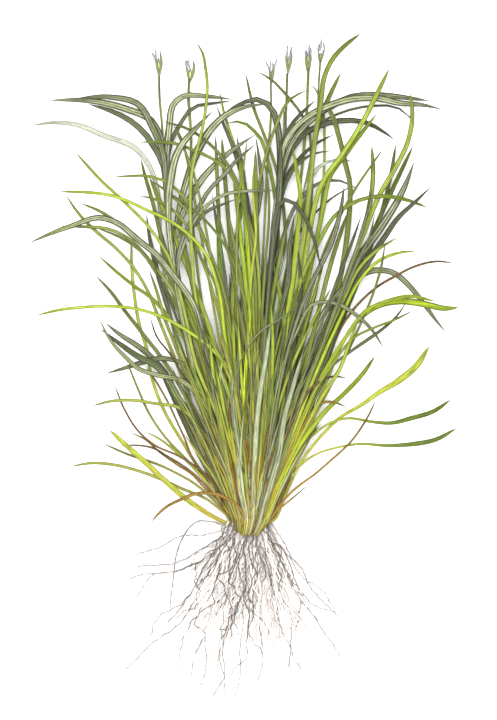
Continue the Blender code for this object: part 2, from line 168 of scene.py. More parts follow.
def cubic(t, start, leave, end, arrive):
    """The cubic Hermite curve from p to q, with the tangents a and b there:
    (1 + 2t)(1 - t)^2 p + t(1 - t)^2 a + t^2(3 - 2t) q + t^2(t - 1) b.
    """
    return ((1 + 2 * t) * (1 - t) ** 2 * start + t * (1 - t) ** 2 * leave
            + t * t * (3 - 2 * t) * end + t * t * (t - 1) * arrive)


def way_along(spine):
    """How far along the spine each of its points is."""
    return np.append(0, np.cumsum(np.linalg.norm(np.diff(spine, axis=0), axis=1)))


def smooth_route(points, steps):
    """A smooth curve through the points, read at equal steps of its length.

    The tangent at a point is the mean of the slopes on its two sides, the shorter side counting
    more.
    """
    points = np.array(points, dtype=float)
    length = np.linalg.norm(np.diff(points, axis=0), axis=1)[:, None]
    slope = np.diff(points, axis=0) / length
    inner = (slope[:-1] * length[1:] + slope[1:] * length[:-1]) / (length[1:] + length[:-1])
    tangent = np.vstack([slope[:1], inner, slope[-1:]])
    t = np.linspace(0, 1, READINGS)[None, :, None]
    leave, arrive = (tangent[:-1] * length)[:, None], (tangent[1:] * length)[:, None]
    fine = cubic(t, points[:-1, None], leave, points[1:, None], arrive)
    fine = fine.reshape(-1, points.shape[1])
    travelled = way_along(fine)
    wanted = np.linspace(0, travelled[-1], steps + 1)
    return np.column_stack([np.interp(wanted, travelled, fine[:, k])
                            for k in range(points.shape[1])])


def rooted(seen):
    """Carry a leaf on from its lowest seen point, the last one, down to the crown.

    The join leaves along the leaf's own heading and reaches the crown along the ray of the fan
    that the leaf belongs to. Returns points from the crown to the tip.
    """
    seen = np.array(seen, dtype=float)
    low = seen[-1]
    aim = math.atan2(low[0], low[1] + RAYS_MEET)
    base = np.array([WIDEST_FOOT * np.clip(aim / WIDEST_AIM, -1, 1), FOOT_Y])
    span = np.linalg.norm(low - base)
    heading = (low - seen[-2]) / np.linalg.norm(low - seen[-2])
    rise = np.array([math.sin(aim * 0.8), math.cos(aim * 0.8)])
    t = np.linspace(0, 1, 6)[:-1, None]
    hidden = cubic(t, base, rise * span, low, -heading * span * 0.8)
    return np.vstack([hidden, seen[::-1]])


# %% [markdown]
# ## The heap
#
# Real leaves lie on each other. We keep a fine grid of how high the heap already is, lay each
# leaf on it as a springy strip that no obstacle pierces, and then raise the grid along the leaf.
# The inner leaves fill a low dome first.

# %% How high the inner leaves and the fine roots reach
LEAF_FAN = {
    "centre": (0.0, -10.0), "start": 13.6,
    "angle": (-45.5, -35.2, -24.0, -13.0, 0.8, 14.0, 23.5, 34.0),
    "reach": (63.0, 87.0, 120.0, 146.0, 152.0, 147.0, 121.0, 78.0),
    "height": (2.8, 3.6, 4.6, 5.2, 5.6, 5.2, 4.6, 3.4),
    "edges": (-50.0, -41.0, -29.5, -18.5, -7.5, 9.0, 19.0, 28.0, 40.0),
}
ROOT_FAN = {
    "centre": (0.0, 7.0), "start": 14.2,
    "angle": (-25.5, 4.5, 30.0, 50.0),
    "reach": (57.0, 64.0, 69.0, 47.0),
    "height": (3.2, 3.8, 3.4, 2.6),
    "edges": (-42.0, -9.0, 18.0, 42.0, 58.0),
}


def fan_angle(fan, x, y, sign=1):
    """Degrees from the ray along Y. The sign is 1 for the leaves and -1 for the roots, which
    point the other way.
    """
    return np.degrees(np.arctan2(x - fan["centre"][0], sign * (y - fan["centre"][1])) * sign)


def fan_height(fan, x, y, sign=1):
    """The dome over a fan: h (0.12 + 0.85 (1 - a^1.6)), where a runs from 0 at the crown to 1 at
    the fan's reach, and the height h and the reach both follow the angle. Zero beside the fan.
    """
    angle = fan_angle(fan, x, y, sign)
    radius = np.hypot(x - fan["centre"][0], y - fan["centre"][1])
    reach = np.interp(angle, fan["angle"], fan["reach"])
    along = np.clip((radius - fan["start"]) / (reach - fan["start"]), 0, 1)
    inside = (angle > fan["edges"][0]) & (angle < fan["edges"][-1]) & (radius < reach)
    dome = np.interp(angle, fan["angle"], fan["height"]) * (0.12 + 0.85 * (1 - along ** 1.6))
    return np.where(inside, dome, 0.0)


# %% [markdown]
# The grid covers the whole plant. A strip is laid in two steps: we read the highest cell under
# each of its stretches, and then relax it from there, as a hanging ribbon would settle.

# %% The heap and how a strip is laid on it
PLAN_LOW = np.array([-90.0, -70.0])
PLAN_HIGH = np.array([85.0, 180.0])
CELL = 0.3
SPOTS_ALONG = 39
SPOTS_ACROSS = 15
RELAXINGS = 900
BOW_RADIUS = 800.0


class Heap:
    """The height of what already lies there, over a fine grid in plan."""

    def __init__(self):
        columns, rows = np.ceil((PLAN_HIGH - PLAN_LOW) / CELL).astype(int)
        x = PLAN_LOW[0] + CELL * (np.arange(columns) + 0.5)[:, None]
        y = PLAN_LOW[1] + CELL * (np.arange(rows) + 0.5)[None, :]
        self.top = np.where(y > 0, fan_height(LEAF_FAN, x, y), fan_height(ROOT_FAN, x, y, -1))

    def spots(self, route, half, margin):
        """Cells all over the strip: straight piece, step along it, step across it."""
        along = np.linspace(0, 1, SPOTS_ALONG)[None, :, None, None]
        across = np.linspace(-1, 1, SPOTS_ACROSS)[None, None, :, None]
        step = np.diff(route, axis=0)
        side = np.column_stack([-step[:, 1], step[:, 0]]) / np.linalg.norm(step, axis=1)[:, None]
        middle = route[:-1, None, None] + along * step[:, None, None]
        reach = half[:-1, None, None, None] * (1 - along) + half[1:, None, None, None] * along
        plan = middle + across * (reach + margin) * side[:, None, None]
        index = np.floor((plan - PLAN_LOW) / CELL).astype(int)
        return index[..., 0], index[..., 1]

    def lay(self, route, half, thickness, gap, margin, spring):
        """Height of a springy strip at each point of its route.

        It starts on the heap and is relaxed many times to the mean of its neighbours, plus a
        little bow for its springiness, but never below the heap. A limp strip has no bow.
        """
        spots = self.spots(route, half, margin)
        under = self.top[spots].max(axis=(1, 2))
        beside = np.maximum(np.append(under, under[-1]), np.append(under[0], under))
        lowest = beside + gap + thickness / 2
        step = np.linalg.norm(route[1] - route[0])
        bow = spring * step * step / (2 * BOW_RADIUS)
        height = lowest.copy()
        for _ in range(RELAXINGS):
            height[1:-1] = np.maximum(lowest[1:-1], (height[:-2] + height[2:]) / 2 + bow)
        over = np.maximum(height[:-1], height[1:]) + thickness / 2
        np.maximum.at(self.top, spots, np.broadcast_to(over[:, None, None], spots[0].shape))
        return height


heap = Heap()
print("grid cells:", heap.top.size, "inner leaves reach", round(float(heap.top.max()), 2), "mm")

# %% [markdown]
# ## Making a mesh from arrays
#
# Every blade, stalk and root is a ring of points carried along a route. Whole arrays hold the
# points, and the faces join each ring to the next. A pole closes each end, so the surface has no
# hole.

# %% From arrays to a piece of the plant
def add_piece(name, shape, material, node):
    """Put a shape's arrays in a mesh, with its UV map and its attributes, and link the object.

    The piece rides the one body and stands for the solid model's node, in its material slot.
    """
    quads, triangles = shape["quads"], shape["triangles"]
    mesh = bpy.data.meshes.new(name)
    corners = np.concatenate([quads.ravel(), triangles.ravel()]).astype(np.int32)
    starts = np.concatenate([np.arange(len(quads)) * 4,
                             4 * len(quads) + np.arange(len(triangles)) * 3]).astype(np.int32)
    mesh.vertices.add(len(shape["points"]))
    mesh.vertices.foreach_set("co", (shape["points"] * MM).ravel())
    mesh.loops.add(len(corners))
    mesh.loops.foreach_set("vertex_index", corners)
    mesh.polygons.add(len(starts))
    mesh.polygons.foreach_set("loop_start", starts)
    mesh.polygons.foreach_set("use_smooth", np.ones(len(starts), dtype=bool))
    mesh.update(calc_edges=True)
    uv = mesh.uv_layers.new(name="UVMap")
    uv.uv.foreach_set("vector", shape["uv"][corners].ravel())
    for key in ("blade", "leaf"):
        held = mesh.attributes.new(key, "FLOAT_VECTOR", "POINT")
        held.data.foreach_set("vector", shape[key].ravel())
    mesh.materials.append(material)
    piece = bpy.data.objects.new(name, mesh)
    bpy.context.scene.collection.objects.link(piece)
    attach(piece, "root")
    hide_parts(node)


def sweep(spine, across, up, twist):
    """Carry rings along a spine and close both ends.

    across[i, j] and up[i, j] are point j of ring i in the strip's own cross-section. Ring i lies
    square to the spine: its side axis is level, turned about the spine by twist[i].
    Returns the points, ring by ring, then the first pole and the last pole.
    """
    forward = np.gradient(spine, axis=0)
    forward /= np.linalg.norm(forward, axis=1)[:, None]
    side = np.cross([0.0, 0.0, 1.0], forward)
    side /= np.linalg.norm(side, axis=1)[:, None]
    normal = np.cross(forward, side)
    cos, sin = np.cos(twist)[:, None], np.sin(twist)[:, None]
    side, normal = side * cos + normal * sin, normal * cos - side * sin
    rings = spine[:, None] + across[..., None] * side[:, None] + up[..., None] * normal[:, None]
    return np.vstack([rings.reshape(-1, 3), spine[:1], spine[-1:]])


def sweep_faces(rings, around):
    """Quads between the rings and triangles to the two poles, all facing out."""
    ring = np.arange(around)
    following = (ring + 1) % around
    first = (np.arange(rings - 1) * around)[:, None]
    quads = np.stack([first + ring, first + following, first + around + following,
                      first + around + ring], axis=-1).reshape(-1, 4)
    last = (rings - 1) * around
    pole = rings * around
    triangles = np.vstack([
        np.stack([following, ring, np.full(around, pole)], axis=-1),
        np.stack([last + ring, last + following, np.full(around, pole + 1)], axis=-1)])
    return quads, triangles


def ring_angles(around):
    return np.arange(around) * 2 * math.pi / around


def swept_shape(spine, across, up, twist, travelled, seed, tone, last):
    """A swept solid with the numbers that its look reads.

    The attribute blade holds the cosine of the way round, the way along in millimetres and the
    piece's own number. The attribute leaf holds the share of the way along, the tone and one
    last number. On the UV map, x runs across and y along.
    """
    rings, around = across.shape
    points = sweep(spine, across, up, twist)
    quads, triangles = sweep_faces(rings, around)
    cosines = np.append(np.tile(np.cos(ring_angles(around)), rings), [0, 0])
    along = np.append(np.repeat(travelled, around), [0, travelled[-1]])
    share = np.append(np.repeat(np.linspace(0, 1, rings), around), [0, 1])
    same = np.ones(len(points))
    return {"points": points, "quads": quads, "triangles": triangles,
            "uv": np.column_stack([cosines / 2 + 0.5, share]),
            "blade": np.column_stack([cosines, along, same * seed]),
            "leaf": np.column_stack([share, same * tone, same * last])}


def join(shapes):
    """Several swept shapes as one set of arrays, with the face numbers moved along."""
    offset = np.cumsum([0] + [len(shape["points"]) for shape in shapes[:-1]])
    joined = {key: np.vstack([shape[key] for shape in shapes])
              for key in ("points", "uv", "blade", "leaf")}
    for key in ("quads", "triangles"):
        joined[key] = np.vstack([shape[key] + start for shape, start in zip(shapes, offset)])
    return joined


# %% [markdown]
# ## One blade
#
# A blade of this plant is narrow at the crown, keeps its full width for most of its length and
# ends in a long fine point. It is folded along its middle like a shallow gutter. Its edges are
# thin, and it rolls a little to one side and back as it goes.

# %% The blade's shape
def blade_shares(s, length, arched=False, closing=3.0):
    """Width along the blade: rises as a quarter sine from the base share to 1 at s = 0.4, and
    closes as 1 - e^(-d / closing), with d the distance to the tip in millimetres. An arched
    blade rises as (s / 0.82)^5 instead, so it stays narrow until it arches over.
    """
    if arched:
        grown = np.minimum(s / 0.82, 1) ** 5
    else:
        grown = np.sin(math.pi / 2 * np.minimum(s / 0.4, 1))
    return (BASE_SHARE + (1 - BASE_SHARE) * grown) * (1 - np.exp((s - 1) * length / closing))


def blade(route, height, width, thickness, fold, roll, seed, tone, tip, around, arched, closing):
    """A closed blade over a route in plan.

    The ring is (w cos p, f w (|cos p|^1.5 - 0.45) + t sin p / 2) for p round the circle: w is the
    half width, t the thickness and f the fold. Roll is a slow wave of the turn about the spine.
    The tip is 1 for a green one and -1 for a dark one.
    """
    spine = np.column_stack([route, height])
    s = np.linspace(0, 1, len(spine))
    angle = ring_angles(around)
    travelled = way_along(spine)
    half = np.maximum(blade_shares(s, travelled[-1], arched, closing), 0.03) * width / 2
    half[-1] = 0.02 * width
    across = half[:, None] * np.cos(angle)
    thin = thickness / 2 * np.minimum(1, half / (0.3 * width))
    up = (fold * half[:, None] * (np.abs(np.cos(angle)) ** 1.5 - 0.45)
          + thin[:, None] * np.sin(angle))
    phase, turns = seed * 1.7, 1.2 + (seed * 0.37) % 1.3
    twist = roll * np.sin(2 * math.pi * turns * s + phase) * np.minimum(1, s * 5)
    return swept_shape(spine, across, up, twist, travelled, seed, tone, tip)


# %% [markdown]
# ## Small tools for node graphs
#
# A look is a sum of masks. These helpers add a node and wire its inputs in one line, so a shader
# reads like the sentence that describes it.

# %% Node helpers
def add(tree, kind, inputs=None, **settings):
    """A node with its settings. An input is either a link to a socket or a fixed value."""
    node = tree.nodes.new(kind)
    for key, value in settings.items():
        setattr(node, key, value)
    for key, value in (inputs or {}).items():
        if isinstance(value, bpy.types.NodeSocket):
            tree.links.new(value, node.inputs[key])
        else:
            node.inputs[key].default_value = value
    return node


def maths(tree, operation, *values):
    node = add(tree, "ShaderNodeMath", dict(enumerate(values)), operation=operation)
    return node.outputs[0]


def times(tree, first, second):
    return maths(tree, "MULTIPLY", first, second)


def plus(tree, first, second):
    return maths(tree, "ADD", first, second)


def wobble(tree, value, amount):
    """Noise moved to swing about zero, times the amount."""
    return times(tree, maths(tree, "SUBTRACT", value, 0.5), amount)


def ease(tree, value, low, high, start=0.0, end=1.0):
    """A smooth step of the value from low to high."""
    node = add(tree, "ShaderNodeMapRange", {"Value": value, "From Min": low, "From Max": high,
                                            "To Min": start, "To Max": end},
               interpolation_type="SMOOTHSTEP")
    return node.outputs[0]


def mixed(tree, share, first, second):
    node = add(tree, "ShaderNodeMix", {0: share, 6: first, 7: second}, data_type="RGBA")
    return node.outputs[2]


def stored(tree, name):
    """The three numbers of an attribute that the mesh carries."""
    held = add(tree, "ShaderNodeAttribute", attribute_name=name)
    numbers = add(tree, "ShaderNodeSeparateXYZ", {0: held.outputs["Vector"]})
    return [numbers.outputs[k] for k in range(3)]


def own_noise(tree, held, stretch, scale, detail=3.0, roughness=0.5):
    """Noise that keeps to its piece: across it, along it and by its own number, each stretched."""
    place = add(tree, "ShaderNodeCombineXYZ", {
        k: times(tree, held[k], stretch[k]) for k in range(3)})
    node = add(tree, "ShaderNodeTexNoise", {"Vector": place.outputs[0], "Scale": scale,
                                            "Detail": detail, "Roughness": roughness})
    return node.outputs["Fac"]


def surface(tree, shader, colour, height, strength, distance):
    """Give the material its colour and a fine relief."""
    relief = add(tree, "ShaderNodeBump", {"Strength": strength, "Distance": distance,
                                          "Height": height})
    tree.links.new(colour, shader.inputs["Base Color"])
    tree.links.new(relief.outputs[0], shader.inputs["Normal"])


def new_group(name, inputs, outputs):
    """An empty node group with its named sockets. Returns the tree and its two end nodes."""
    tree = bpy.data.node_groups.new(name, "ShaderNodeTree")
    for label, kind, value in inputs:
        socket = tree.interface.new_socket(label, in_out="INPUT", socket_type=kind)
        socket.default_value = value
    for label, kind in outputs:
        tree.interface.new_socket(label, in_out="OUTPUT", socket_type=kind)
    return tree, tree.nodes.new("NodeGroupInput"), tree.nodes.new("NodeGroupOutput")


# %% [markdown]
# ## The look of a blade
#
# All the leaves share one pattern: fine parallel veins that run the length of the blade, a
# stronger middle vein, painted shade along the edges that is heavier on one side, as on the half
# of a folded blade that turns from the light, long streaks of painted highlight, pale or
# straw-coloured feet where the blade leaves the crown, and a few withered spots. The group puts
# out a colour, a roughness and a height, and each kind of leaf gives it its own colours and
# amounts.

# %% Blade pattern as a node group
COLOUR, NUMBER = "NodeSocketColor", "NodeSocketFloat"
pattern, p_in, p_out = new_group(
    "blade_pattern",
    [("Body", COLOUR, (0.3, 0.4, 0.05, 1)), ("Low", COLOUR, (0.3, 0.4, 0.05, 1)),
     ("Light", COLOUR, (0.5, 0.6, 0.1, 1)),
     ("Edge", COLOUR, (0.1, 0.15, 0.02, 1)), ("Vein", COLOUR, (0.1, 0.15, 0.02, 1)),
     ("Foot", COLOUR, (0.6, 0.5, 0.2, 1)), ("Rust", COLOUR, (0.45, 0.2, 0.05, 1)),
     ("Spot", COLOUR, (0.3, 0.15, 0.04, 1)), ("Rust amount", NUMBER, 0.6),
     ("Vein count", NUMBER, 5.0), ("Vein amount", NUMBER, 0.5), ("Edge amount", NUMBER, 0.6),
     ("Edge start", NUMBER, 0.5), ("Highlight amount", NUMBER, 0.6), ("Foot length", NUMBER, 16.0),
     ("Spot amount", NUMBER, 0.3)],
    [("Color", COLOUR), ("Roughness", NUMBER), ("Height", NUMBER)])

given = p_in.outputs
blade_held = stored(pattern, "blade")
side, along, _ = blade_held
share, tone, tip = stored(pattern, "leaf")
out_from_middle = maths(pattern, "ABSOLUTE", side)

long_streaks = own_noise(pattern, blade_held, (2.6, 0.045, 3.1), 1.6)
fine_grain = own_noise(pattern, blade_held, (5.0, 0.5, 1.0), 2.2)
strokes = own_noise(pattern, blade_held, (2.2, 0.17, 9.1), 1.7, 2.0)
rusty = own_noise(pattern, blade_held, (1.6, 0.07, 5.3), 1.5)
spotty = own_noise(pattern, blade_held, (1.0, 0.16, 7.7), 1.3, 4.0, 0.6)

# %% [markdown]
# Each mask is a number from 0 to 1 over the blade. The veins are a sine across it, which the
# streaks bend a little, and most masks fade along it.

# %% Masks of the blade pattern
vein_phase = plus(pattern, times(pattern, out_from_middle,
                                 times(pattern, given["Vein count"], math.pi)),
                  times(pattern, long_streaks, 1.4))
veins = times(pattern, ease(pattern, maths(pattern, "SINE", vein_phase), 0.25, 0.95),
              ease(pattern, fine_grain, 0.3, 0.62, 0.35, 1.0))
midrib = ease(pattern, out_from_middle, 0.22, 0.04)
# Painted shade: the edge mask darkens the blade towards its edges, and the strokes make it uneven
# across, so one side is shaded more, as the half of a folded blade that turns from the light.
uneven_out = plus(pattern, out_from_middle, wobble(pattern, strokes, 1.1))
edge_end = plus(pattern, given["Edge start"], 0.34)
edges = times(pattern, ease(pattern, uneven_out, given["Edge start"], edge_end),
              ease(pattern, share, 0.3, 0.9, 0.8, 1.0))
tips = ease(pattern, share, 0.9, 0.98)
feet = ease(pattern, plus(pattern, along, wobble(pattern, long_streaks, 44.0)),
            given["Foot length"], 2.0)
low_part = ease(pattern, along, 105.0, 40.0)
rust = times(pattern, ease(pattern, rusty, 0.5, 0.62), ease(pattern, along, 62.0, 14.0))
spots = ease(pattern, spotty, 0.6, 0.72)
# Painted highlights: long lighter streaks along the blade, weaker near the crown.
streaks = times(pattern, ease(pattern, long_streaks, 0.38, 0.62),
                times(pattern, given["Highlight amount"],
                      ease(pattern, low_part, 0.0, 1.0, 1.0, 0.65)))
green_tip = times(pattern, ease(pattern, share, 0.8, 0.95), maths(pattern, "MAXIMUM", tip, 0.0))
dark_tip = times(pattern, ease(pattern, plus(pattern, share, times(pattern, strokes, 0.9)),
                               0.85, 1.25),
                 maths(pattern, "MAXIMUM", times(pattern, tip, -0.92), 0.0))
print("nodes for the masks:", len(pattern.nodes))

# %% [markdown]
# The colours go over the blade's own one like layers of pencil, each with its mask. The leaf's
# tone and the strokes then make the whole of it lighter or darker.

# %% Layers of colour, and what the group puts out
GREEN_TIP = (0.30, 0.36, 0.05, 1)
DARK_TIP = (0.05, 0.07, 0.02, 1)
# The edge colour laid over the edge mask is painted shade, and the lighter colour laid over the
# streaks is painted highlight.
layers = [
    (green_tip, GREEN_TIP),
    (streaks, given["Light"]),
    (dark_tip, DARK_TIP),
    (times(pattern, feet, 0.6), given["Foot"]),
    (times(pattern, rust, given["Rust amount"]), given["Rust"]),
    (times(pattern, veins, given["Vein amount"]), given["Vein"]),
    (times(pattern, edges, given["Edge amount"]), given["Edge"]),
    (times(pattern, midrib, times(pattern, given["Vein amount"], 0.55)), given["Vein"]),
    (times(pattern, spots, given["Spot amount"]), given["Spot"]),
    (times(pattern, tips, 0.6), given["Edge"]),
]
tinted = mixed(pattern, low_part, given["Body"], given["Low"])
for mask, colour in layers:
    tinted = mixed(pattern, mask, tinted, colour)
shaded = add(pattern, "ShaderNodeHueSaturation", {
    "Hue": ease(pattern, tone, 0.0, 1.0, 0.488, 0.512),
    "Saturation": ease(pattern, tone, 0.0, 1.0, 0.92, 1.06),
    "Value": times(pattern, ease(pattern, tone, 0.0, 1.0, 0.62, 1.08),
                   ease(pattern, strokes, 0.33, 0.67, 0.65, 1.35)), "Color": tinted})
pattern.links.new(shaded.outputs[0], p_out.inputs["Color"])
pattern.links.new(ease(pattern, fine_grain, 0.3, 0.7, 0.42, 0.6), p_out.inputs["Roughness"])
pattern.links.new(plus(pattern, times(pattern, veins, 0.6), times(pattern, fine_grain, 0.5)),
                  p_out.inputs["Height"])
print("blade pattern nodes:", len(pattern.nodes))

# %% [markdown]
# ## The kinds of leaf
#
# The plant has five kinds: narrow lime leaves, wide dark ones, pale grey-green ones, yellow-green
# ones and withered brown ones. Each is the one pattern with colours and amounts of its own.

# %% Leaf materials
LEAF_SHINE = 0.15
RELIEF_DEPTH = 0.0002


def leaf_material(name, colours, amounts, bump=0.25):
    """One kind of leaf: the shared pattern with this kind's own colours and amounts."""
    made, tree, shader = new_material(name)
    shader.inputs["Specular IOR Level"].default_value = LEAF_SHINE
    inputs = {key: (*value, 1) for key, value in colours.items()}
    inputs.update(amounts)
    look = add(tree, "ShaderNodeGroup", inputs, node_tree=pattern)
    surface(tree, shader, look.outputs["Color"], look.outputs["Height"], bump, RELIEF_DEPTH)
    tree.links.new(look.outputs["Roughness"], shader.inputs["Roughness"])
    return made


LEAF_LOOKS = {
    "lime": leaf_material("lime_leaf", {
        "Body": (0.225, 0.28, 0.014), "Low": (0.29, 0.325, 0.018), "Light": (0.40, 0.46, 0.06),
        "Edge": (0.065, 0.09, 0.010), "Vein": (0.10, 0.135, 0.010), "Foot": (0.43, 0.37, 0.06),
        "Rust": (0.42, 0.23, 0.06), "Spot": (0.34, 0.24, 0.05)},
        {"Vein count": 2.0, "Vein amount": 0.45, "Edge amount": 0.9, "Edge start": 0.36,
         "Highlight amount": 0.8, "Foot length": 20.0, "Rust amount": 0.8, "Spot amount": 0.3}),
    "dark": leaf_material("dark_leaf", {
        "Body": (0.225, 0.24, 0.115), "Low": (0.205, 0.255, 0.05), "Light": (0.33, 0.345, 0.215),
        "Edge": (0.028, 0.032, 0.016), "Vein": (0.022, 0.027, 0.014), "Foot": (0.28, 0.22, 0.07),
        "Rust": (0.25, 0.14, 0.05), "Spot": (0.10, 0.08, 0.04)},
        {"Vein count": 3.7, "Vein amount": 0.85, "Edge amount": 0.95, "Edge start": 0.42,
         "Highlight amount": 0.85, "Foot length": 14.0, "Rust amount": 0.6, "Spot amount": 0.25}),
    "pale": leaf_material("pale_leaf", {
        "Body": (0.38, 0.38, 0.35), "Low": (0.31, 0.37, 0.19), "Light": (0.48, 0.53, 0.36),
        "Edge": (0.07, 0.09, 0.045), "Vein": (0.13, 0.17, 0.10), "Foot": (0.38, 0.29, 0.10),
        "Rust": (0.55, 0.38, 0.18), "Spot": (0.36, 0.28, 0.12)},
        {"Vein count": 4.0, "Vein amount": 0.5, "Edge amount": 0.75, "Highlight amount": 0.8,
         "Foot length": 16.0, "Rust amount": 0.4, "Spot amount": 0.2}),
    "yellow": leaf_material("yellow_leaf", {
        "Body": (0.28, 0.34, 0.014), "Low": (0.29, 0.33, 0.018), "Light": (0.42, 0.47, 0.04),
        "Edge": (0.13, 0.15, 0.015), "Vein": (0.18, 0.22, 0.015), "Foot": (0.50, 0.35, 0.06),
        "Rust": (0.60, 0.30, 0.05), "Spot": (0.50, 0.28, 0.05)},
        {"Vein count": 3.0, "Vein amount": 0.4, "Edge amount": 0.75, "Highlight amount": 0.7,
         "Foot length": 20.0, "Rust amount": 0.6, "Spot amount": 0.35}),
    "brown": leaf_material("brown_leaf", {
        "Body": (0.09, 0.045, 0.012), "Low": (0.18, 0.105, 0.022), "Light": (0.54, 0.34, 0.07),
        "Edge": (0.04, 0.022, 0.01), "Vein": (0.06, 0.03, 0.012), "Foot": (0.40, 0.25, 0.05),
        "Rust": (0.55, 0.27, 0.04), "Spot": (0.06, 0.035, 0.015)},
        {"Vein count": 2.0, "Vein amount": 0.5, "Edge amount": 0.95, "Edge start": 0.3,
         "Highlight amount": 0.6, "Foot length": 12.0, "Rust amount": 0.6, "Spot amount": 0.5},
        bump=0.5),
}
print("leaf materials:", sorted(LEAF_LOOKS))
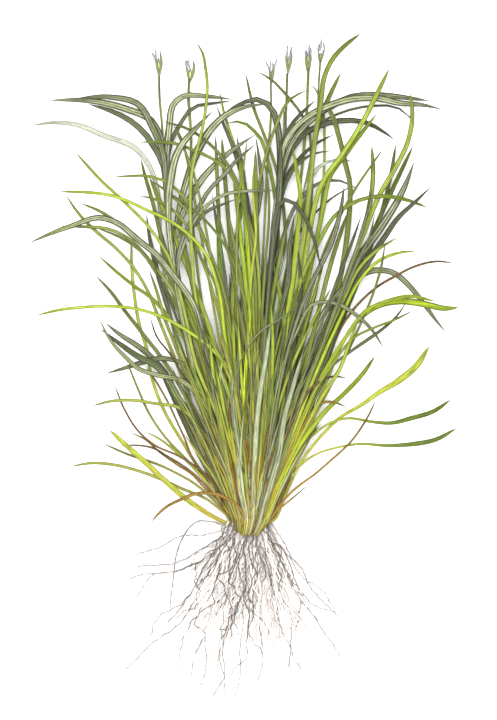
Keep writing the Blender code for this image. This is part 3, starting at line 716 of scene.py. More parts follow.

# %% [markdown]
# ## The leaves that stand out
#
# These are the leaves that the model holds one by one. Their routes are given from the crown
# to the tip, and they are laid in this order, the same as in the solid model, so each blade lies
# where its solid does.

# %% Routes of the single leaves
SINGLE_LEAVES = [
    ("pale_leaf_01", "pale", PALE_WIDTH,
     [(-8.4, 4), (-12.2, 15), (-17, 30), (-21.5, 46), (-25.5, 62), (-28.5, 79), (-30.3, 96),
      (-31.5, 112), (-33.8, 118.8), (-38, 124.6), (-50, 129.8), (-58.5, 133.3), (-65.4, 134),
      (-74.2, 133.1)]),
    ("dark_leaf_02", "dark", DARK_WIDTH,
     [(-6, 4), (-9.6, 16), (-14, 31), (-18.4, 45), (-21.8, 60), (-24.6, 75), (-26.9, 90),
      (-28.2, 105), (-28.9, 120), (-30.3, 129), (-33.5, 134.4), (-41.5, 138.1), (-49.6, 140.4),
      (-56, 141.3), (-68, 141.5)]),
    ("dark_leaf_04", "dark", DARK_WIDTH,
     [(-3.4, 4), (-6.6, 18), (-11.2, 34), (-16.8, 48), (-21.6, 63), (-25, 80), (-27.4, 98),
      (-28.2, 118), (-27.4, 131.5), (-25.4, 140.4), (-23, 142.1), (-15, 142.3), (-6, 141.3)]),
    ("dark_leaf_05", "dark", BAND_WIDTH,
     [(-1, 4), (-4.4, 20), (-9.5, 37), (-16.4, 50), (-21.4, 66), (-24.8, 82), (-25.6, 93),
      (-24.2, 104), (-21.5, 114.6), (-17.3, 125.4), (-12.3, 132.7), (-7.7, 136.5), (-1.9, 138.8),
      (4.5, 139.6)]),
    ("dark_leaf_01", "dark", DARK_WIDTH,
     [(1.4, 4), (2.4, 20), (4, 42), (5, 66), (6, 90), (8.5, 112), (11.9, 128.5), (18.5, 135.4),
      (25, 138.8), (32.7, 141.2), (42, 141.5), (48.8, 140), (56.5, 139.6), (63.5, 138.1)]),
    ("green_leaf_05", "lime", LIME_WIDTH,
     [(3.8, 4), (6.6, 22), (10.5, 45), (14.5, 70), (18.5, 95), (23.5, 114), (29.6, 122.7),
      (37.7, 135.8), (41.5, 143.5), (45.4, 151.5)]),
    ("dark_leaf_09", "dark", BAND_WIDTH,
     [(6.2, 4), (10.4, 22), (15.5, 40), (21.5, 58), (28.5, 74), (35, 88), (43.1, 99.6),
      (47.7, 106.9), (51.5, 114.6), (54, 121.3)]),
    ("green_leaf_06", "lime", LIME_WIDTH,
     [(8.5, 4), (13, 22), (18.5, 42), (24, 62), (31, 82), (36, 95), (42.7, 110.8), (47.3, 118.5),
      (51.2, 126.5), (52.9, 135.4), (52.3, 143.5)]),
    ("green_leaf_08", "lime", THIN_WIDTH,
     [(-8.6, 4), (-14.5, 14), (-22.3, 26.5), (-29.6, 39.2), (-33.8, 51.5), (-34.6, 57.3),
      (-37.3, 66.2), (-39.2, 76.9), (-40, 85.4), (-40.2, 95.4)]),
    ("green_leaf_07", "lime", THIN_WIDTH,
     [(-6.3, 4), (-11.5, 20), (-19, 38), (-25, 54), (-30.4, 67.3), (-35, 78.8), (-40, 86.5),
      (-45.4, 92.3), (-52.3, 98.1), (-58.1, 104.2), (-62.1, 110)]),
    ("dark_leaf_03", "dark", DARK_WIDTH,
     [(-4, 4), (-7.4, 16), (-11.8, 30), (-16.6, 43), (-20.4, 55), (-23.4, 68), (-25.8, 82),
      (-27.6, 97), (-28.5, 112), (-29.5, 123.8), (-32.7, 131.5), (-37.7, 139.6), (-47, 142),
      (-60, 141.5)]),
    ("dark_leaf_07", "dark", DARK_WIDTH,
     [(-1.6, 4), (-5, 20), (-10.5, 38), (-18.4, 54), (-22.8, 68), (-25.6, 85), (-24.8, 97),
      (-21.4, 106.4), (-16, 115.2), (-9.8, 121.6), (-3.5, 126.5), (1.2, 129.7)]),
    ("green_leaf_04", "lime", LIME_WIDTH,
     [(0.8, 4), (3.2, 20), (8.5, 40), (12, 62), (15.5, 85), (18.5, 108), (20.8, 129),
      (22.7, 140.8), (23.7, 148.1), (26.9, 155), (31.5, 160), (36.3, 163.8)]),
    ("dark_leaf_11", "dark", PALE_WIDTH,
     [(3.2, 4), (6.2, 20), (11, 40), (18, 58), (26, 74), (33.5, 81.5), (39.6, 84.4),
      (46.5, 83.8), (51.9, 79.6), (56.2, 74.6), (60, 69.6), (64.8, 63.8)]),
    ("brown_leaf_01", "brown", BROWN_WIDTH,
     [(5.6, 4), (10.4, 20), (18, 36), (24, 52), (30, 67), (35, 73.5), (40.8, 78.8), (47.3, 82.7),
      (53.5, 85.8), (61.9, 87.7), (67.5, 87.1)]),
    ("green_leaf_09", "lime", YELLOW_WIDTH,
     [(7.8, 4), (13, 18), (18.5, 33), (24.5, 48), (30, 61.2), (36.5, 69.6), (41.2, 72.7),
      (48.8, 74.4), (56.5, 73.5), (64.2, 72.1), (68.8, 72.5)]),
    ("brown_leaf_02", "brown", BROWN_WIDTH,
     [(-8.7, 4), (-13.5, 15.4), (-20, 20.8), (-25, 23.7), (-31.5, 26.5), (-37.7, 31.5),
      (-42.3, 38.5), (-46, 47.3)]),
    ("dark_leaf_13", "dark", DARK_WIDTH,
     [(-6.4, 4), (-9.2, 13), (-12, 22), (-16.2, 29.6), (-20, 36.2), (-24.2, 42.3),
      (-28.1, 49.2), (-31.9, 53.4), (-37.3, 56), (-42.7, 59.6), (-50.8, 65.6)]),
    ("dark_leaf_06", "dark", BAND_WIDTH,
     [(-3.8, 4), (-7.2, 16), (-12.4, 29), (-16.2, 41), (-19.8, 54.6), (-22, 64),
      (-24, 73.8), (-25.8, 85.4), (-27.4, 100.8), (-26.9, 113), (-24.2, 123.8), (-17.3, 132.7),
      (-13, 137.5)]),
    ("green_leaf_01", "lime", THIN_WIDTH,
     [(-1.2, 4), (-4.6, 22), (-9.6, 45), (-17.5, 70), (-20, 95), (-19.2, 120), (-16.7, 129.2),
      (-15.2, 138), (-14.8, 146.9), (-15.4, 151.5), (-16.3, 156.5), (-18.7, 161)]),
    ("dark_leaf_10", "dark", PALE_WIDTH,
     [(4, 4), (8.8, 20), (17, 36), (23.5, 54), (31.5, 74.6), (38.8, 88.5), (43.5, 95.4),
      (48.1, 101.9), (53.5, 106.9), (59.6, 112.7)]),
    ("green_leaf_12", "lime", LIME_WIDTH,
     [(6.2, 4), (9.6, 13.5), (15, 19.6), (20.8, 23.8), (28.1, 26.2), (35.8, 27.3), (44.2, 26.7),
      (52.7, 27.1), (61.2, 28.7), (68.1, 32.3)]),
    ("yellow_leaf_01", "yellow", YELLOW_WIDTH,
     [(8.5, 4), (11.6, 12), (16.2, 21.5), (22.7, 30), (29.2, 36.2), (35.8, 40), (41.9, 44.2),
      (48.5, 48.1), (54.2, 52.7), (59, 59.6)]),
    ("green_leaf_14", "lime", THIN_WIDTH,
     [(-8.8, 4), (-15, 9), (-23.5, 12.7), (-30, 15.6), (-37.7, 18.3), (-45.4, 20.2),
      (-53.1, 20.8), (-60.4, 19.6)]),
    ("green_leaf_13", "lime", THIN_WIDTH,
     [(-6.6, 4), (-10.6, 18), (-16, 31), (-24.6, 39.6), (-31.5, 40.6), (-39.2, 41.7),
      (-47.3, 41.3), (-53.5, 39.6)]),
    ("dark_leaf_12", "dark", LIME_WIDTH,
     [(-4.4, 4), (-7.4, 18), (-11.6, 32), (-16.5, 42), (-23.1, 48.2), (-31.5, 50.2),
      (-36.9, 51.9), (-41.5, 55.8), (-46.2, 60.8), (-51, 69.4)]),
    ("green_leaf_02", "lime", THIN_WIDTH,
     [(-2.2, 4), (-6.2, 20), (-12, 38), (-18.5, 54), (-22.5, 72), (-28, 90), (-33.8, 98.5),
      (-41.5, 106.5), (-50, 114.4), (-59, 124.4)]),
    ("dark_leaf_08", "dark", PALE_WIDTH,
     [(0.2, 4), (-2.6, 20), (-8, 38), (-15, 56), (-19.2, 73), (-26.2, 83.1), (-31.5, 89.6),
      (-37.7, 94.6), (-44.2, 100), (-50, 101.9), (-59.6, 99.4), (-66.5, 97.1),
      (-74.8, 93.7)]),
    ("green_leaf_03", "lime", THIN_WIDTH,
     [(2.4, 4), (0.2, 20), (-3.6, 40), (-8.5, 60), (-11, 78), (-15.4, 90), (-25.4, 99.6),
      (-33.8, 103.8), (-45.4, 108.8), (-55, 110.4), (-64.6, 111)]),
    ("green_leaf_11", "lime", LIME_WIDTH,
     [(6.8, 4), (9.6, 14), (12, 22), (20, 30.4), (25.8, 34.4), (31.5, 35.8), (39.6, 34.6),
      (45.8, 34.2), (52.7, 35.8), (60.4, 38.1), (66.3, 41.9)]),
    ("green_leaf_10", "lime", THIN_WIDTH,
     [(4.6, 4), (2.6, 20), (-0.4, 35), (-4.6, 46), (-9.6, 54.6), (-21.2, 64.6),
      (-28.8, 68.8), (-36.5, 71.5), (-45.4, 72.7), (-55, 72.5), (-64.6, 71.5),
      (-72.1, 69.8)]),
    ("yellow_leaf_02", "yellow", YELLOW_WIDTH,
     [(-7.6, 0.4), (-10.2, 1.6), (-13.2, 3.2), (-17.4, 6), (-21.8, 9.2), (-29.7, 16),
      (-35, 20.9), (-40.9, 26), (-47.7, 31.9)]),
    ("brown_leaf_03", "brown", THIN_WIDTH,
     [(-3, 4.4), (-4.6, 6.8), (-8.1, 9.4), (-11, 10.7), (-15, 11.3), (-19.6, 10.7),
      (-23.7, 8.9), (-27.7, 6.9), (-31.1, 4), (-33.7, 0.9)]),
]
ARCHED = ("dark_leaf_01", "dark_leaf_02", "dark_leaf_03", "dark_leaf_04", "dark_leaf_05",
          "dark_leaf_06", "dark_leaf_07", "pale_leaf_01", "green_leaf_09", "green_leaf_11",
          "green_leaf_12", "yellow_leaf_01")
print("single leaves:", len(SINGLE_LEAVES))

# %% [markdown]
# ## The leaves between them
#
# Many more leaves show only in part. Each of these is written from its tip down to the last
# place where it is seen, and the rest of its way to the crown is worked out.

# %% Leaves that show in part
BACK_LEAVES = [
    ("dark", 2.2, [(-54.6, 140.2), (-47.3, 138), (-40, 134.2), (-35.4, 130), (-33, 126.5),
                   (-30, 121.2), (-28.4, 110), (-27, 95), (-24.6, 80), (-21.4, 63), (-16.8, 48)]),
    ("dark", 1.5, [(-6.5, 141.3), (-15, 140), (-20, 138.8), (-22.3, 135.8), (-24.6, 131.9),
                   (-26.5, 128.5), (-27.9, 122), (-28.2, 110), (-27, 95), (-24.8, 80),
                   (-21.6, 63), (-17, 48)]),
    ("lime", 1.0, [(-10.8, 144.8), (-9.6, 138), (-7.3, 130.4), (-5.8, 125.8)]),
    ("dark", 1.5, [(-12.1, 140), (-9.6, 133.5), (-6.2, 125), (-3.5, 116.2)]),
    ("dark", 2.0, [(-5.2, 129.8), (-3.5, 120), (-2.3, 108.5), (-1.9, 93), (-3.5, 81.5),
                   (-1.9, 66)]),
    ("lime", 1.3, [(-8.5, 133.5), (-3.5, 134), (1.2, 130.4), (3.1, 128), (5, 122)]),
    ("lime", 1.1, [(-2.3, 151.2), (-0.8, 143.8), (0.2, 139.6), (3.5, 130.8), (6.9, 121.9)]),
    ("dark", 1.6, [(1.2, 129.2), (2.5, 120), (3.1, 114.2), (1.9, 104.6), (0.4, 97)]),
    ("dark", 2.4, [(-9, 137), (-3.5, 140), (3.1, 141), (6.9, 137.3), (8.5, 131.5),
                   (9.2, 124.6), (8.8, 112)]),
    ("dark", 1.5, [(10.5, 139), (10.8, 127.7), (9.6, 114), (8.4, 104)]),
    ("lime", 1.0, [(1, 151.2), (6.9, 147.7), (11.2, 143.1), (15.8, 137.3), (18.8, 131.5),
                   (19.5, 124)]),
    ("lime", 1.1, [(18.8, 144.6), (14.6, 142.7), (12.3, 141.2), (8.8, 134.6), (5.8, 126.5)]),
    ("lime", 0.9, [(18.7, 147.5), (21.9, 143.5), (23.5, 138), (24, 128)]),
    ("lime", 1.6, [(29.8, 151.2), (26.9, 145.4), (24.2, 139.2), (21.7, 132.3), (20.4, 124.6),
                   (18.1, 113)]),
    ("dark", 1.8, [(21.5, 141.5), (18.5, 138.8), (15.8, 136.2), (12.7, 132.3), (10.8, 127.7),
                   (9.4, 119), (8.6, 109)]),
    ("dark", 2.0, [(47.7, 128.1), (42.7, 131.5), (38, 133.8), (30.8, 134.4), (23.8, 133.1),
                   (16.5, 129.2), (12, 123.5), (9.6, 114), (8.6, 104)]),
    ("dark", 2.4, [(59.2, 141.3), (50.8, 142.3), (42, 142.9), (33.5, 142.3), (26.5, 139.2),
                   (19.5, 134.5), (13.5, 127.5), (10, 118), (8.8, 108)]),
    ("brown", 0.7, [(33.5, 113), (26.5, 108.7), (20.8, 103.5), (15, 96), (12, 86)]),
    ("dark", 0.9, [(54.2, 132.1), (51.5, 136.9), (47.7, 139), (39.6, 139.2), (30, 137),
                   (20, 131.5), (13, 123), (10, 112)]),
    ("dark", 1.5, [(27.7, 129.8), (22.3, 127.3), (15.8, 121.9), (11.6, 116), (9, 106)]),
    ("dark", 1.3, [(26.5, 124.2), (20, 123.1), (13.5, 117.8), (9.8, 109), (8.3, 99)]),
    ("pale", 1.5, [(34.2, 120.6), (30, 121.5), (23.1, 119.6), (20.4, 116.9), (17, 109),
                   (13.5, 98)]),
    ("dark", 1.4, [(35, 111.5), (28.5, 114.4), (22.3, 113.5), (15, 107), (10.6, 97)]),
    ("lime", 1.8, [(22, 141), (25.4, 137.7), (28.8, 128.5), (30.8, 120), (32.3, 114),
                   (32.3, 106.5), (31, 93)]),
    ("lime", 1.6, [(41.3, 136.5), (35.8, 129.6), (30.4, 122.3), (25.8, 115.8), (23.5, 105)]),
    ("lime", 1.6, [(53.7, 126.5), (49.6, 118), (45.8, 110), (41.9, 101.2)]),
    ("lime", 1.4, [(47.9, 127.3), (46.2, 117), (43.5, 106)]),
    ("lime", 1.6, [(39.8, 126.9), (40.2, 116.2), (38.5, 104.6), (35.8, 95.4)]),
    ("lime", 0.9, [(44, 125.8), (39.6, 119.6), (33.8, 111)]),
]
MIDDLE_LEAVES = [
    ("lime", 1.4, [(-36.9, 121.9), (-35.4, 115.8), (-33.8, 110.4), (-31.2, 100.8),
                   (-29, 90)]),
    ("dark", 1.8, [(-35.1, 103.7), (-34.6, 99.2), (-32.3, 88)]),
    ("lime", 1.0, [(-46.5, 115.7), (-41.5, 115.8), (-35.8, 115.8), (-29, 114), (-22, 108),
                   (-17, 98)]),
    ("lime", 1.1, [(-37.9, 126.7), (-30, 126.9), (-24.6, 126.2), (-19.6, 124.2),
                   (-13.5, 121.5), (-7.7, 117), (-3.5, 108)]),
    ("lime", 1.1, [(-29.6, 133.7), (-25, 132.5), (-21.2, 131.2), (-16.2, 128), (-10, 121.9),
                   (-4.2, 112), (-1.8, 102)]),
    ("lime", 0.9, [(-25, 131.5), (-23.5, 128.5), (-21.2, 120), (-19, 108)]),
    ("lime", 1.0, [(-33.8, 114.2), (-30, 112), (-26.2, 108.8), (-20.4, 103), (-15, 93)]),
    ("lime", 1.0, [(-38.1, 108.7), (-33.8, 108.5), (-29, 106.4), (-22, 100), (-17, 89)]),
    ("lime", 1.2, [(-57.5, 107.3), (-51.2, 104.8), (-43.8, 100), (-37.7, 95.4),
                   (-31.9, 89)]),
    ("lime", 1.1, [(-63.5, 99.6), (-55.4, 99.2), (-48.1, 98.5), (-41.2, 95.4), (-33, 87)]),
    ("lime", 1.0, [(-51.2, 98.5), (-43.5, 95.4), (-36.9, 91), (-31.8, 84)]),
    ("lime", 1.2, [(-51.2, 89.8), (-45.4, 84.6), (-39.2, 79.6), (-32.7, 75), (-26.9, 68.4)]),
    ("lime", 1.3, [(-52.1, 83.1), (-47.3, 78.1), (-42.7, 71.9), (-37.3, 65), (-30.8, 56.9)]),
    ("lime", 1.1, [(-34.2, 85), (-31.5, 77.7), (-28.8, 68.8), (-25.4, 60)]),
    ("dark", 1.1, [(-32.5, 88.1), (-31.2, 83.5), (-27.3, 75.4), (-24.2, 67.3)]),
    ("dark", 2.2, [(-49, 67.5), (-44.2, 63.7), (-37.7, 59.6), (-32.7, 55.4), (-28.5, 50.8),
                   (-24, 42)]),
    ("dark", 2.0, [(-49, 50.4), (-42.3, 52.3), (-36.2, 54.2), (-29.2, 55.6), (-23.1, 54),
                   (-17, 48), (-12.5, 38)]),
    ("lime", 0.9, [(-41.5, 54.6), (-38.1, 46.2), (-33.8, 36.9), (-28.1, 28.8),
                   (-23.1, 23.5)]),
    ("brown", 0.7, [(-41.5, 31.3), (-35.8, 28.7), (-30.4, 24.2), (-25, 20.4),
                    (-20, 17.2), (-16, 13)]),
    ("brown", 0.7, [(-44.6, 26.3), (-38.1, 26.7), (-31.9, 25.4), (-28.8, 23.5),
                    (-23.5, 20.4)]),
    ("lime", 0.9, [(-36, 31.5), (-30, 28.5), (-24.6, 24.2)]),
    ("lime", 0.9, [(-50, 27.3), (-40.8, 23.5), (-32.3, 20.8), (-23.1, 16.5)]),
    ("brown", 0.7, [(-35.4, 53), (-32.7, 49.2), (-27.3, 40), (-24.6, 34.2), (-22.3, 29.2),
                    (-20.4, 24), (-17.3, 19.2), (-11.6, 12.3)]),
    ("brown", 0.7, [(-34, 70), (-31.5, 62.7), (-26.9, 56.9), (-22.7, 50), (-16.9, 41.5),
                    (-13.5, 33.1), (-7.7, 23.8), (-5.8, 20.4)]),
    ("brown", 0.6, [(-26.2, 63.7), (-22.7, 57.3), (-17.5, 48)]),
    ("dark", 1.6, [(-5, 108), (-9.6, 106.2), (-15.4, 103.5), (-18.1, 100.4), (-21.6, 96.5),
                   (-24.4, 89), (-24.4, 79), (-21, 63), (-16.4, 48)]),
    ("dark", 1.6, [(1.5, 126.5), (-5, 120.8), (-9.6, 115.4), (-13.8, 111.2), (-17.3, 105.4),
                   (-21.8, 97.4), (-24.6, 88), (-24.4, 78), (-21, 63), (-16.4, 48)]),
    ("dark", 1.3, [(8, 110.7), (-1.2, 110.6), (-9.6, 109.2), (-13.5, 106.9), (-17.3, 103.1),
                   (-21.6, 95), (-24.2, 86), (-24, 76), (-20.6, 62), (-16, 47)]),
    ("yellow", 0.9, [(0.5, 119), (0.2, 112), (1.2, 95), (0, 85)]),
    ("yellow", 1.6, [(13.5, 125), (14.6, 118), (15.8, 110), (14.8, 96)]),
    ("lime", 1.4, [(11.9, 101.5), (9.2, 89.2), (7.3, 79.6)]),
    ("dark", 2.0, [(13.8, 102.7), (12.3, 91.2), (11.9, 81.5), (9.6, 71.9)]),
    ("dark", 1.8, [(15, 91), (16, 80), (14.6, 66)]),
    ("lime", 1.3, [(-8.5, 105.4), (-5.8, 93), (-4.2, 85)]),
    ("dark", 2.4, [(9.4, 128), (9, 112.3), (8.5, 104.6), (6.9, 93), (5.8, 81.5)]),
    ("lime", 1.4, [(58.5, 105.4), (52.7, 107.5), (46.9, 108.8), (40, 108.8), (33.1, 106.7),
                   (27.7, 103), (22, 94)]),
    ("lime", 0.9, [(-26, 133), (-22.8, 125.5), (-19.8, 118), (-17.6, 110), (-15.6, 100)]),
    ("lime", 0.9, [(-27.3, 110), (-20, 105), (-12.7, 98), (-7.5, 90), (-4, 80)]),
    ("lime", 0.8, [(-31, 104), (-25, 99), (-19, 92), (-14, 84), (-10, 74)]),
    ("lime", 0.9, [(-12, 108), (-10.5, 100), (-8, 91), (-6, 82)]),
    ("lime", 0.8, [(-1.5, 128), (-3, 118), (-4.5, 108), (-5, 96)]),
    ("lime", 0.9, [(4, 121), (5.4, 111), (5.5, 101), (4.6, 90)]),
]
FRONT_LEAVES = [
    ("lime", 1.2, [(48.1, 95.4), (42.7, 92.3), (35, 85), (30.5, 76)]),
    ("lime", 1.1, [(55.4, 91.3), (48.5, 90.4), (41.2, 87.3), (34.5, 80), (30, 71)]),
    ("lime", 0.9, [(43.7, 93.8), (42.3, 85.4), (40, 77.7), (36, 68)]),
    ("yellow", 1.3, [(60.8, 74.2), (51.5, 76), (45, 74.6), (37.3, 71.2), (31, 63)]),
    ("dark", 1.5, [(43.7, 58.5), (39.6, 64.6), (34.2, 69.6), (27.3, 73.5), (20.2, 73.4),
                   (14.5, 64)]),
    ("dark", 1.3, [(51, 74.4), (46.9, 68.8), (41.9, 64.6), (36.5, 60.8), (30.4, 56.5),
                   (25.8, 52.7), (20.5, 44.3)]),
    ("lime", 0.9, [(53.5, 71.5), (46.5, 68.1), (40.4, 65.8), (33.5, 62.5), (26.5, 54)]),
    ("lime", 1.6, [(41, 56.5), (36.5, 50.4), (30.4, 44.2), (24.2, 38.6), (18.8, 31.8)]),
    ("brown", 0.8, [(41.2, 41.9), (37.1, 34.6), (32.3, 28.1), (26.5, 22.7), (20.8, 17.7),
                    (15, 13.4)]),
    ("brown", 0.9, [(31.5, 49), (26.5, 49.6), (20, 46.5), (15.2, 39)]),
    ("brown", 1.0, [(31.3, 39.2), (28.1, 40.8), (23.1, 41.1), (19.2, 37.5), (16, 32)]),
    ("lime", 1.3, [(34.6, 68), (31.5, 60), (28.5, 51.9), (23.5, 44), (18, 34)]),
    ("brown", 0.6, [(18.8, 13.7), (15, 10.8), (10.8, 7.5)]),
    ("dark", 2.0, [(30.4, 112.7), (29.2, 104.6), (26.5, 95), (22.3, 85.8), (18.5, 78.5),
                   (15, 69)]),
    ("dark", 1.5, [(22.5, 85), (20, 95), (16.5, 102.7), (12.5, 107), (9.6, 107.2), (7.8, 103),
                   (6.6, 92)]),
    ("dark", 1.2, [(40.4, 103.5), (38.8, 96.2), (34.6, 87.2)]),
    ("dark", 1.2, [(39.4, 111.9), (37.3, 101.5), (34, 91)]),
    ("dark", 1.3, [(36.3, 103.1), (33.5, 95.4), (29.4, 85)]),
    ("pale", 1.7, [(6.2, 67.7), (4.6, 56.5), (2.7, 45), (1.5, 33.5), (0.8, 22)]),
    ("pale", 1.7, [(16.9, 58.5), (13.5, 46.9), (10.4, 35.4), (8.8, 23.8), (6.2, 14.2)]),
    ("pale", 1.4, [(-6.5, 50.8), (-6.2, 37.3), (-4.6, 25.8), (-4.4, 14.2)]),
    ("pale", 0.9, [(-2.7, 38.5), (-3.8, 22), (-3, 12)]),
    ("dark", 0.6, [(17, 74.5), (9.6, 68.8), (3.1, 64.6), (-1.9, 58.5), (-5.2, 49.8)]),
]
print("leaves that show in part:", len(BACK_LEAVES) + len(MIDDLE_LEAVES) + len(FRONT_LEAVES))

# %% [markdown]
# ## Flower stalks
#
# Six thread-like stalks rise between the leaves and stand clear of them at the top. Each route is
# given from the crown up to where its flower starts.

# %% Stalk routes
STALK_ROUTES = [
    [(-5.2, 4), (-9, 18), (-14, 36), (-18.5, 54), (-22.5, 74), (-26, 95), (-28.6, 113),
     (-29.6, 127.7), (-30, 133.5), (-30.8, 142), (-31, 149.5)],
    [(-2.8, 4), (-6.2, 20), (-11, 42), (-15, 64), (-18.5, 88), (-20.3, 110), (-20.4, 131.5),
     (-21.2, 143), (-21, 148.6)],
    [(-0.6, 4), (0, 22), (1.4, 46), (2.8, 72), (4, 98), (5.2, 122), (6.3, 140), (6.2, 147.3)],
    [(1.6, 4), (2.8, 22), (4.5, 46), (6.5, 72), (8.7, 98), (10.5, 122), (11.3, 139),
     (11.7, 150.3)],
    [(3.8, 4), (5.8, 22), (8.5, 46), (11, 70), (14, 95), (16.5, 118), (18, 135), (18.5, 146.5),
     (18.7, 152.2)],
    [(6, 4), (8.5, 22), (11.5, 46), (14.6, 70), (17.8, 95), (20, 118), (21.6, 135),
     (22.1, 146.2), (22.7, 154.9)],
]

# %% [markdown]
# ## Laying everything
#
# The stalks go first, then the leaves from the back of the tuft to its front. Near the crown all
# of them are pressed together, so heights there are squeezed towards the crown's own height.

# %% How a blade is laid on the heap
FINE = 66
COARSE = 40
LAYING_STEPS = 17
STALK_STEPS = 14
MARGIN = 0.3
INNER_LAYER = 0.12


def squeezed(route, height):
    """Press the heap together: z (1 - z / 80) everywhere, and from 0.62 of that at the crown to
    all of it 45 mm away, along a smooth step.
    """
    away = np.clip(np.hypot(route[:, 0], route[:, 1] - 2) / 45, 0, 1)
    return height * (1 - height / 80) * (0.62 + 0.38 * away * away * (3 - 2 * away))


def footed(route, height):
    """Carry a blade's foot on, from where the solid leaf starts, over the crown's edge.

    The foot ends nearer to the crown's middle, each at a place of its own, and bends there along
    (1 - t)^2 end + 2t(1 - t) corner + t^2 start. It sinks by 1.8 (1 - t)^2 mm on its way, but not
    below 1 mm.
    """
    start, ahead = route[0], route[0] - route[2]
    across = start[0] * 0.62 - 1.4
    rise = 0.8 * max(abs(across + 1.0) - 2.5, 0.0)
    end = np.array([across, -1.4 + rise - 1.6 * math.sin(start[0] * 7)])
    t = np.linspace(0, 1, 7)[:-1, None]
    ahead = ahead / np.linalg.norm(ahead) * np.linalg.norm(end - start)
    foot = (1 - t) ** 2 * end + 2 * t * (1 - t) * (start + ahead * 0.35) + t * t * start
    sunk = height[0] - (1 - t[:, 0]) ** 2 * 1.8
    return np.vstack([foot, route]), np.append(np.maximum(sunk, 1.0), height)


def laid(points, width, steps, thickness, gap=0, margin=0, spring=0, arched=False):
    """Lay a blade along the points on coarse steps, then read route and height on fine ones."""
    coarse = smooth_route(points, LAYING_STEPS)
    length = np.linalg.norm(np.diff(coarse, axis=0), axis=1).sum()
    share = np.linspace(0, 1, LAYING_STEPS + 1)
    half = blade_shares(share, length, arched) * width / 2
    height = heap.lay(coarse, half, thickness, gap, margin, spring)
    route = smooth_route(points, steps)
    spread = np.interp(np.linspace(0, 1, steps + 1), share, height)
    smooth = np.convolve(np.pad(spread, 3, mode="edge"), np.ones(7) / 7, mode="valid")
    return footed(route, squeezed(route, smooth))


stalks = []
for points in STALK_ROUTES:
    coarse = smooth_route(points, STALK_STEPS)
    half = np.full(STALK_STEPS + 1, STALK_WIDTH / 2)
    height = heap.lay(coarse, half, STALK_WIDTH, GAP, MARGIN, spring=1)
    route = smooth_route(points, FINE)
    height = np.interp(np.linspace(0, 1, FINE + 1), np.linspace(0, 1, STALK_STEPS + 1), height)
    stalks.append(footed(route, squeezed(route, height)))
print("stalks laid:", len(stalks))

# %% [markdown]
# ## Leaves drawn from a seed
#
# Deep in the tuft no leaf can be told from the next, so those are drawn at random, with the
# widths, lengths and bends of their region. The seed is fixed, so the plant is the same each time.

# %% One leaf drawn from the seed
KIND_WIDTHS = {"lime": 1.15, "dark": 1.2, "pale": 1.0, "yellow": 1.0, "brown": 0.75}
SHORT_LENGTHS = {"brown": (18, 52), "pale": (35, 68)}
FAN_LIMITS = (-40, 33)
FOOT_LIMIT = 8.8
FOOT_SPREAD = 12.5
DRAWN_POINTS = 7


def drawn_leaf(shares, angle_spread, low, high, bend, wide):
    """A leaf drawn from the seed: it leaves the crown near its ray and leans out as it goes.

    Returns its kind, its width and points from crown to tip. A brown or a pale leaf is short.
    """
    kind = str(draws.choice(list(shares), p=list(shares.values())))
    angle = float(np.clip(draws.normal(1, angle_spread), *FAN_LIMITS))
    reach = float(np.interp(angle, LEAF_FAN["angle"], LEAF_FAN["reach"]))
    length = reach * draws.uniform(low, high)
    if kind in SHORT_LENGTHS:
        length = min(length, draws.uniform(*SHORT_LENGTHS[kind]))
    base_x = np.clip(FOOT_SPREAD * math.sin(math.radians(angle)) + draws.normal(0, 1.5),
                     -FOOT_LIMIT, FOOT_LIMIT)
    t = np.linspace(0, 1, DRAWN_POINTS)
    wander = np.cumsum(draws.normal(0, 2.3, DRAWN_POINTS))
    lean = np.radians(angle * 0.75 + (angle * 0.25 + draws.normal(0, bend)) * t ** 1.3 + wander)
    steps = np.column_stack([np.sin(lean), np.cos(lean)]) * length / (DRAWN_POINTS - 1)
    points = np.array([base_x, FOOT_Y]) + np.vstack([[0, 0], np.cumsum(steps[:-1], axis=0)])
    ray = fan_angle(LEAF_FAN, points[:, 0], points[:, 1])
    widest = np.interp(points[:, 1], [25, 80], [38, 28])
    points[:, 0] *= widest * np.tanh(ray / widest) / np.where(ray == 0, 1, ray)
    return kind, KIND_WIDTHS[kind] * wide * draws.uniform(0.7, 1.25), points


# %% [markdown]
# ## From the back to the front
#
# The order of laying decides what hides what. Leaves that show in part and drawn ones go between
# the single leaves, at the depth where the drawing has them.

# %% Lay every leaf in its order
UPPER_SHARES = {"lime": 0.72, "dark": 0.14, "pale": 0.04, "yellow": 0.10}
LOWER_SHARES = {"lime": 0.58, "dark": 0.13, "pale": 0.13, "yellow": 0.08, "brown": 0.08}
THIN_SHARES = {"dark": 0.4, "brown": 0.3, "lime": 0.3}
FOOT_SHARES = {"brown": 0.32, "yellow": 0.25, "pale": 0.28, "lime": 0.15}
UPPER_COUNT = 26
LOWER_COUNT = 160
THIN_COUNT = 50
FOOT_COUNT = 34
BACK_SINGLES = 16
FRONT_SINGLES = 31
inner = []
singles = []


def lay_inner(kind, width, points, arched=False):
    blade_laid = laid(points, width, COARSE, INNER_LAYER, arched=arched)
    inner.append((kind, width, arched, *blade_laid))


def lay_part_seen(rows):
    for kind, width, points in rows:
        lay_inner(kind, width, rooted(points), kind == "dark")


def lay_drawn(count, shares, **how):
    for _ in range(count):
        lay_inner(*drawn_leaf(shares, **how))


def lay_singles(rows):
    for name, kind, width, points in rows:
        blade_laid = laid(points, width, FINE, LEAF_THICKNESS, GAP, MARGIN, spring=1,
                          arched=name in ARCHED)
        singles.append((name, kind, width, *blade_laid))


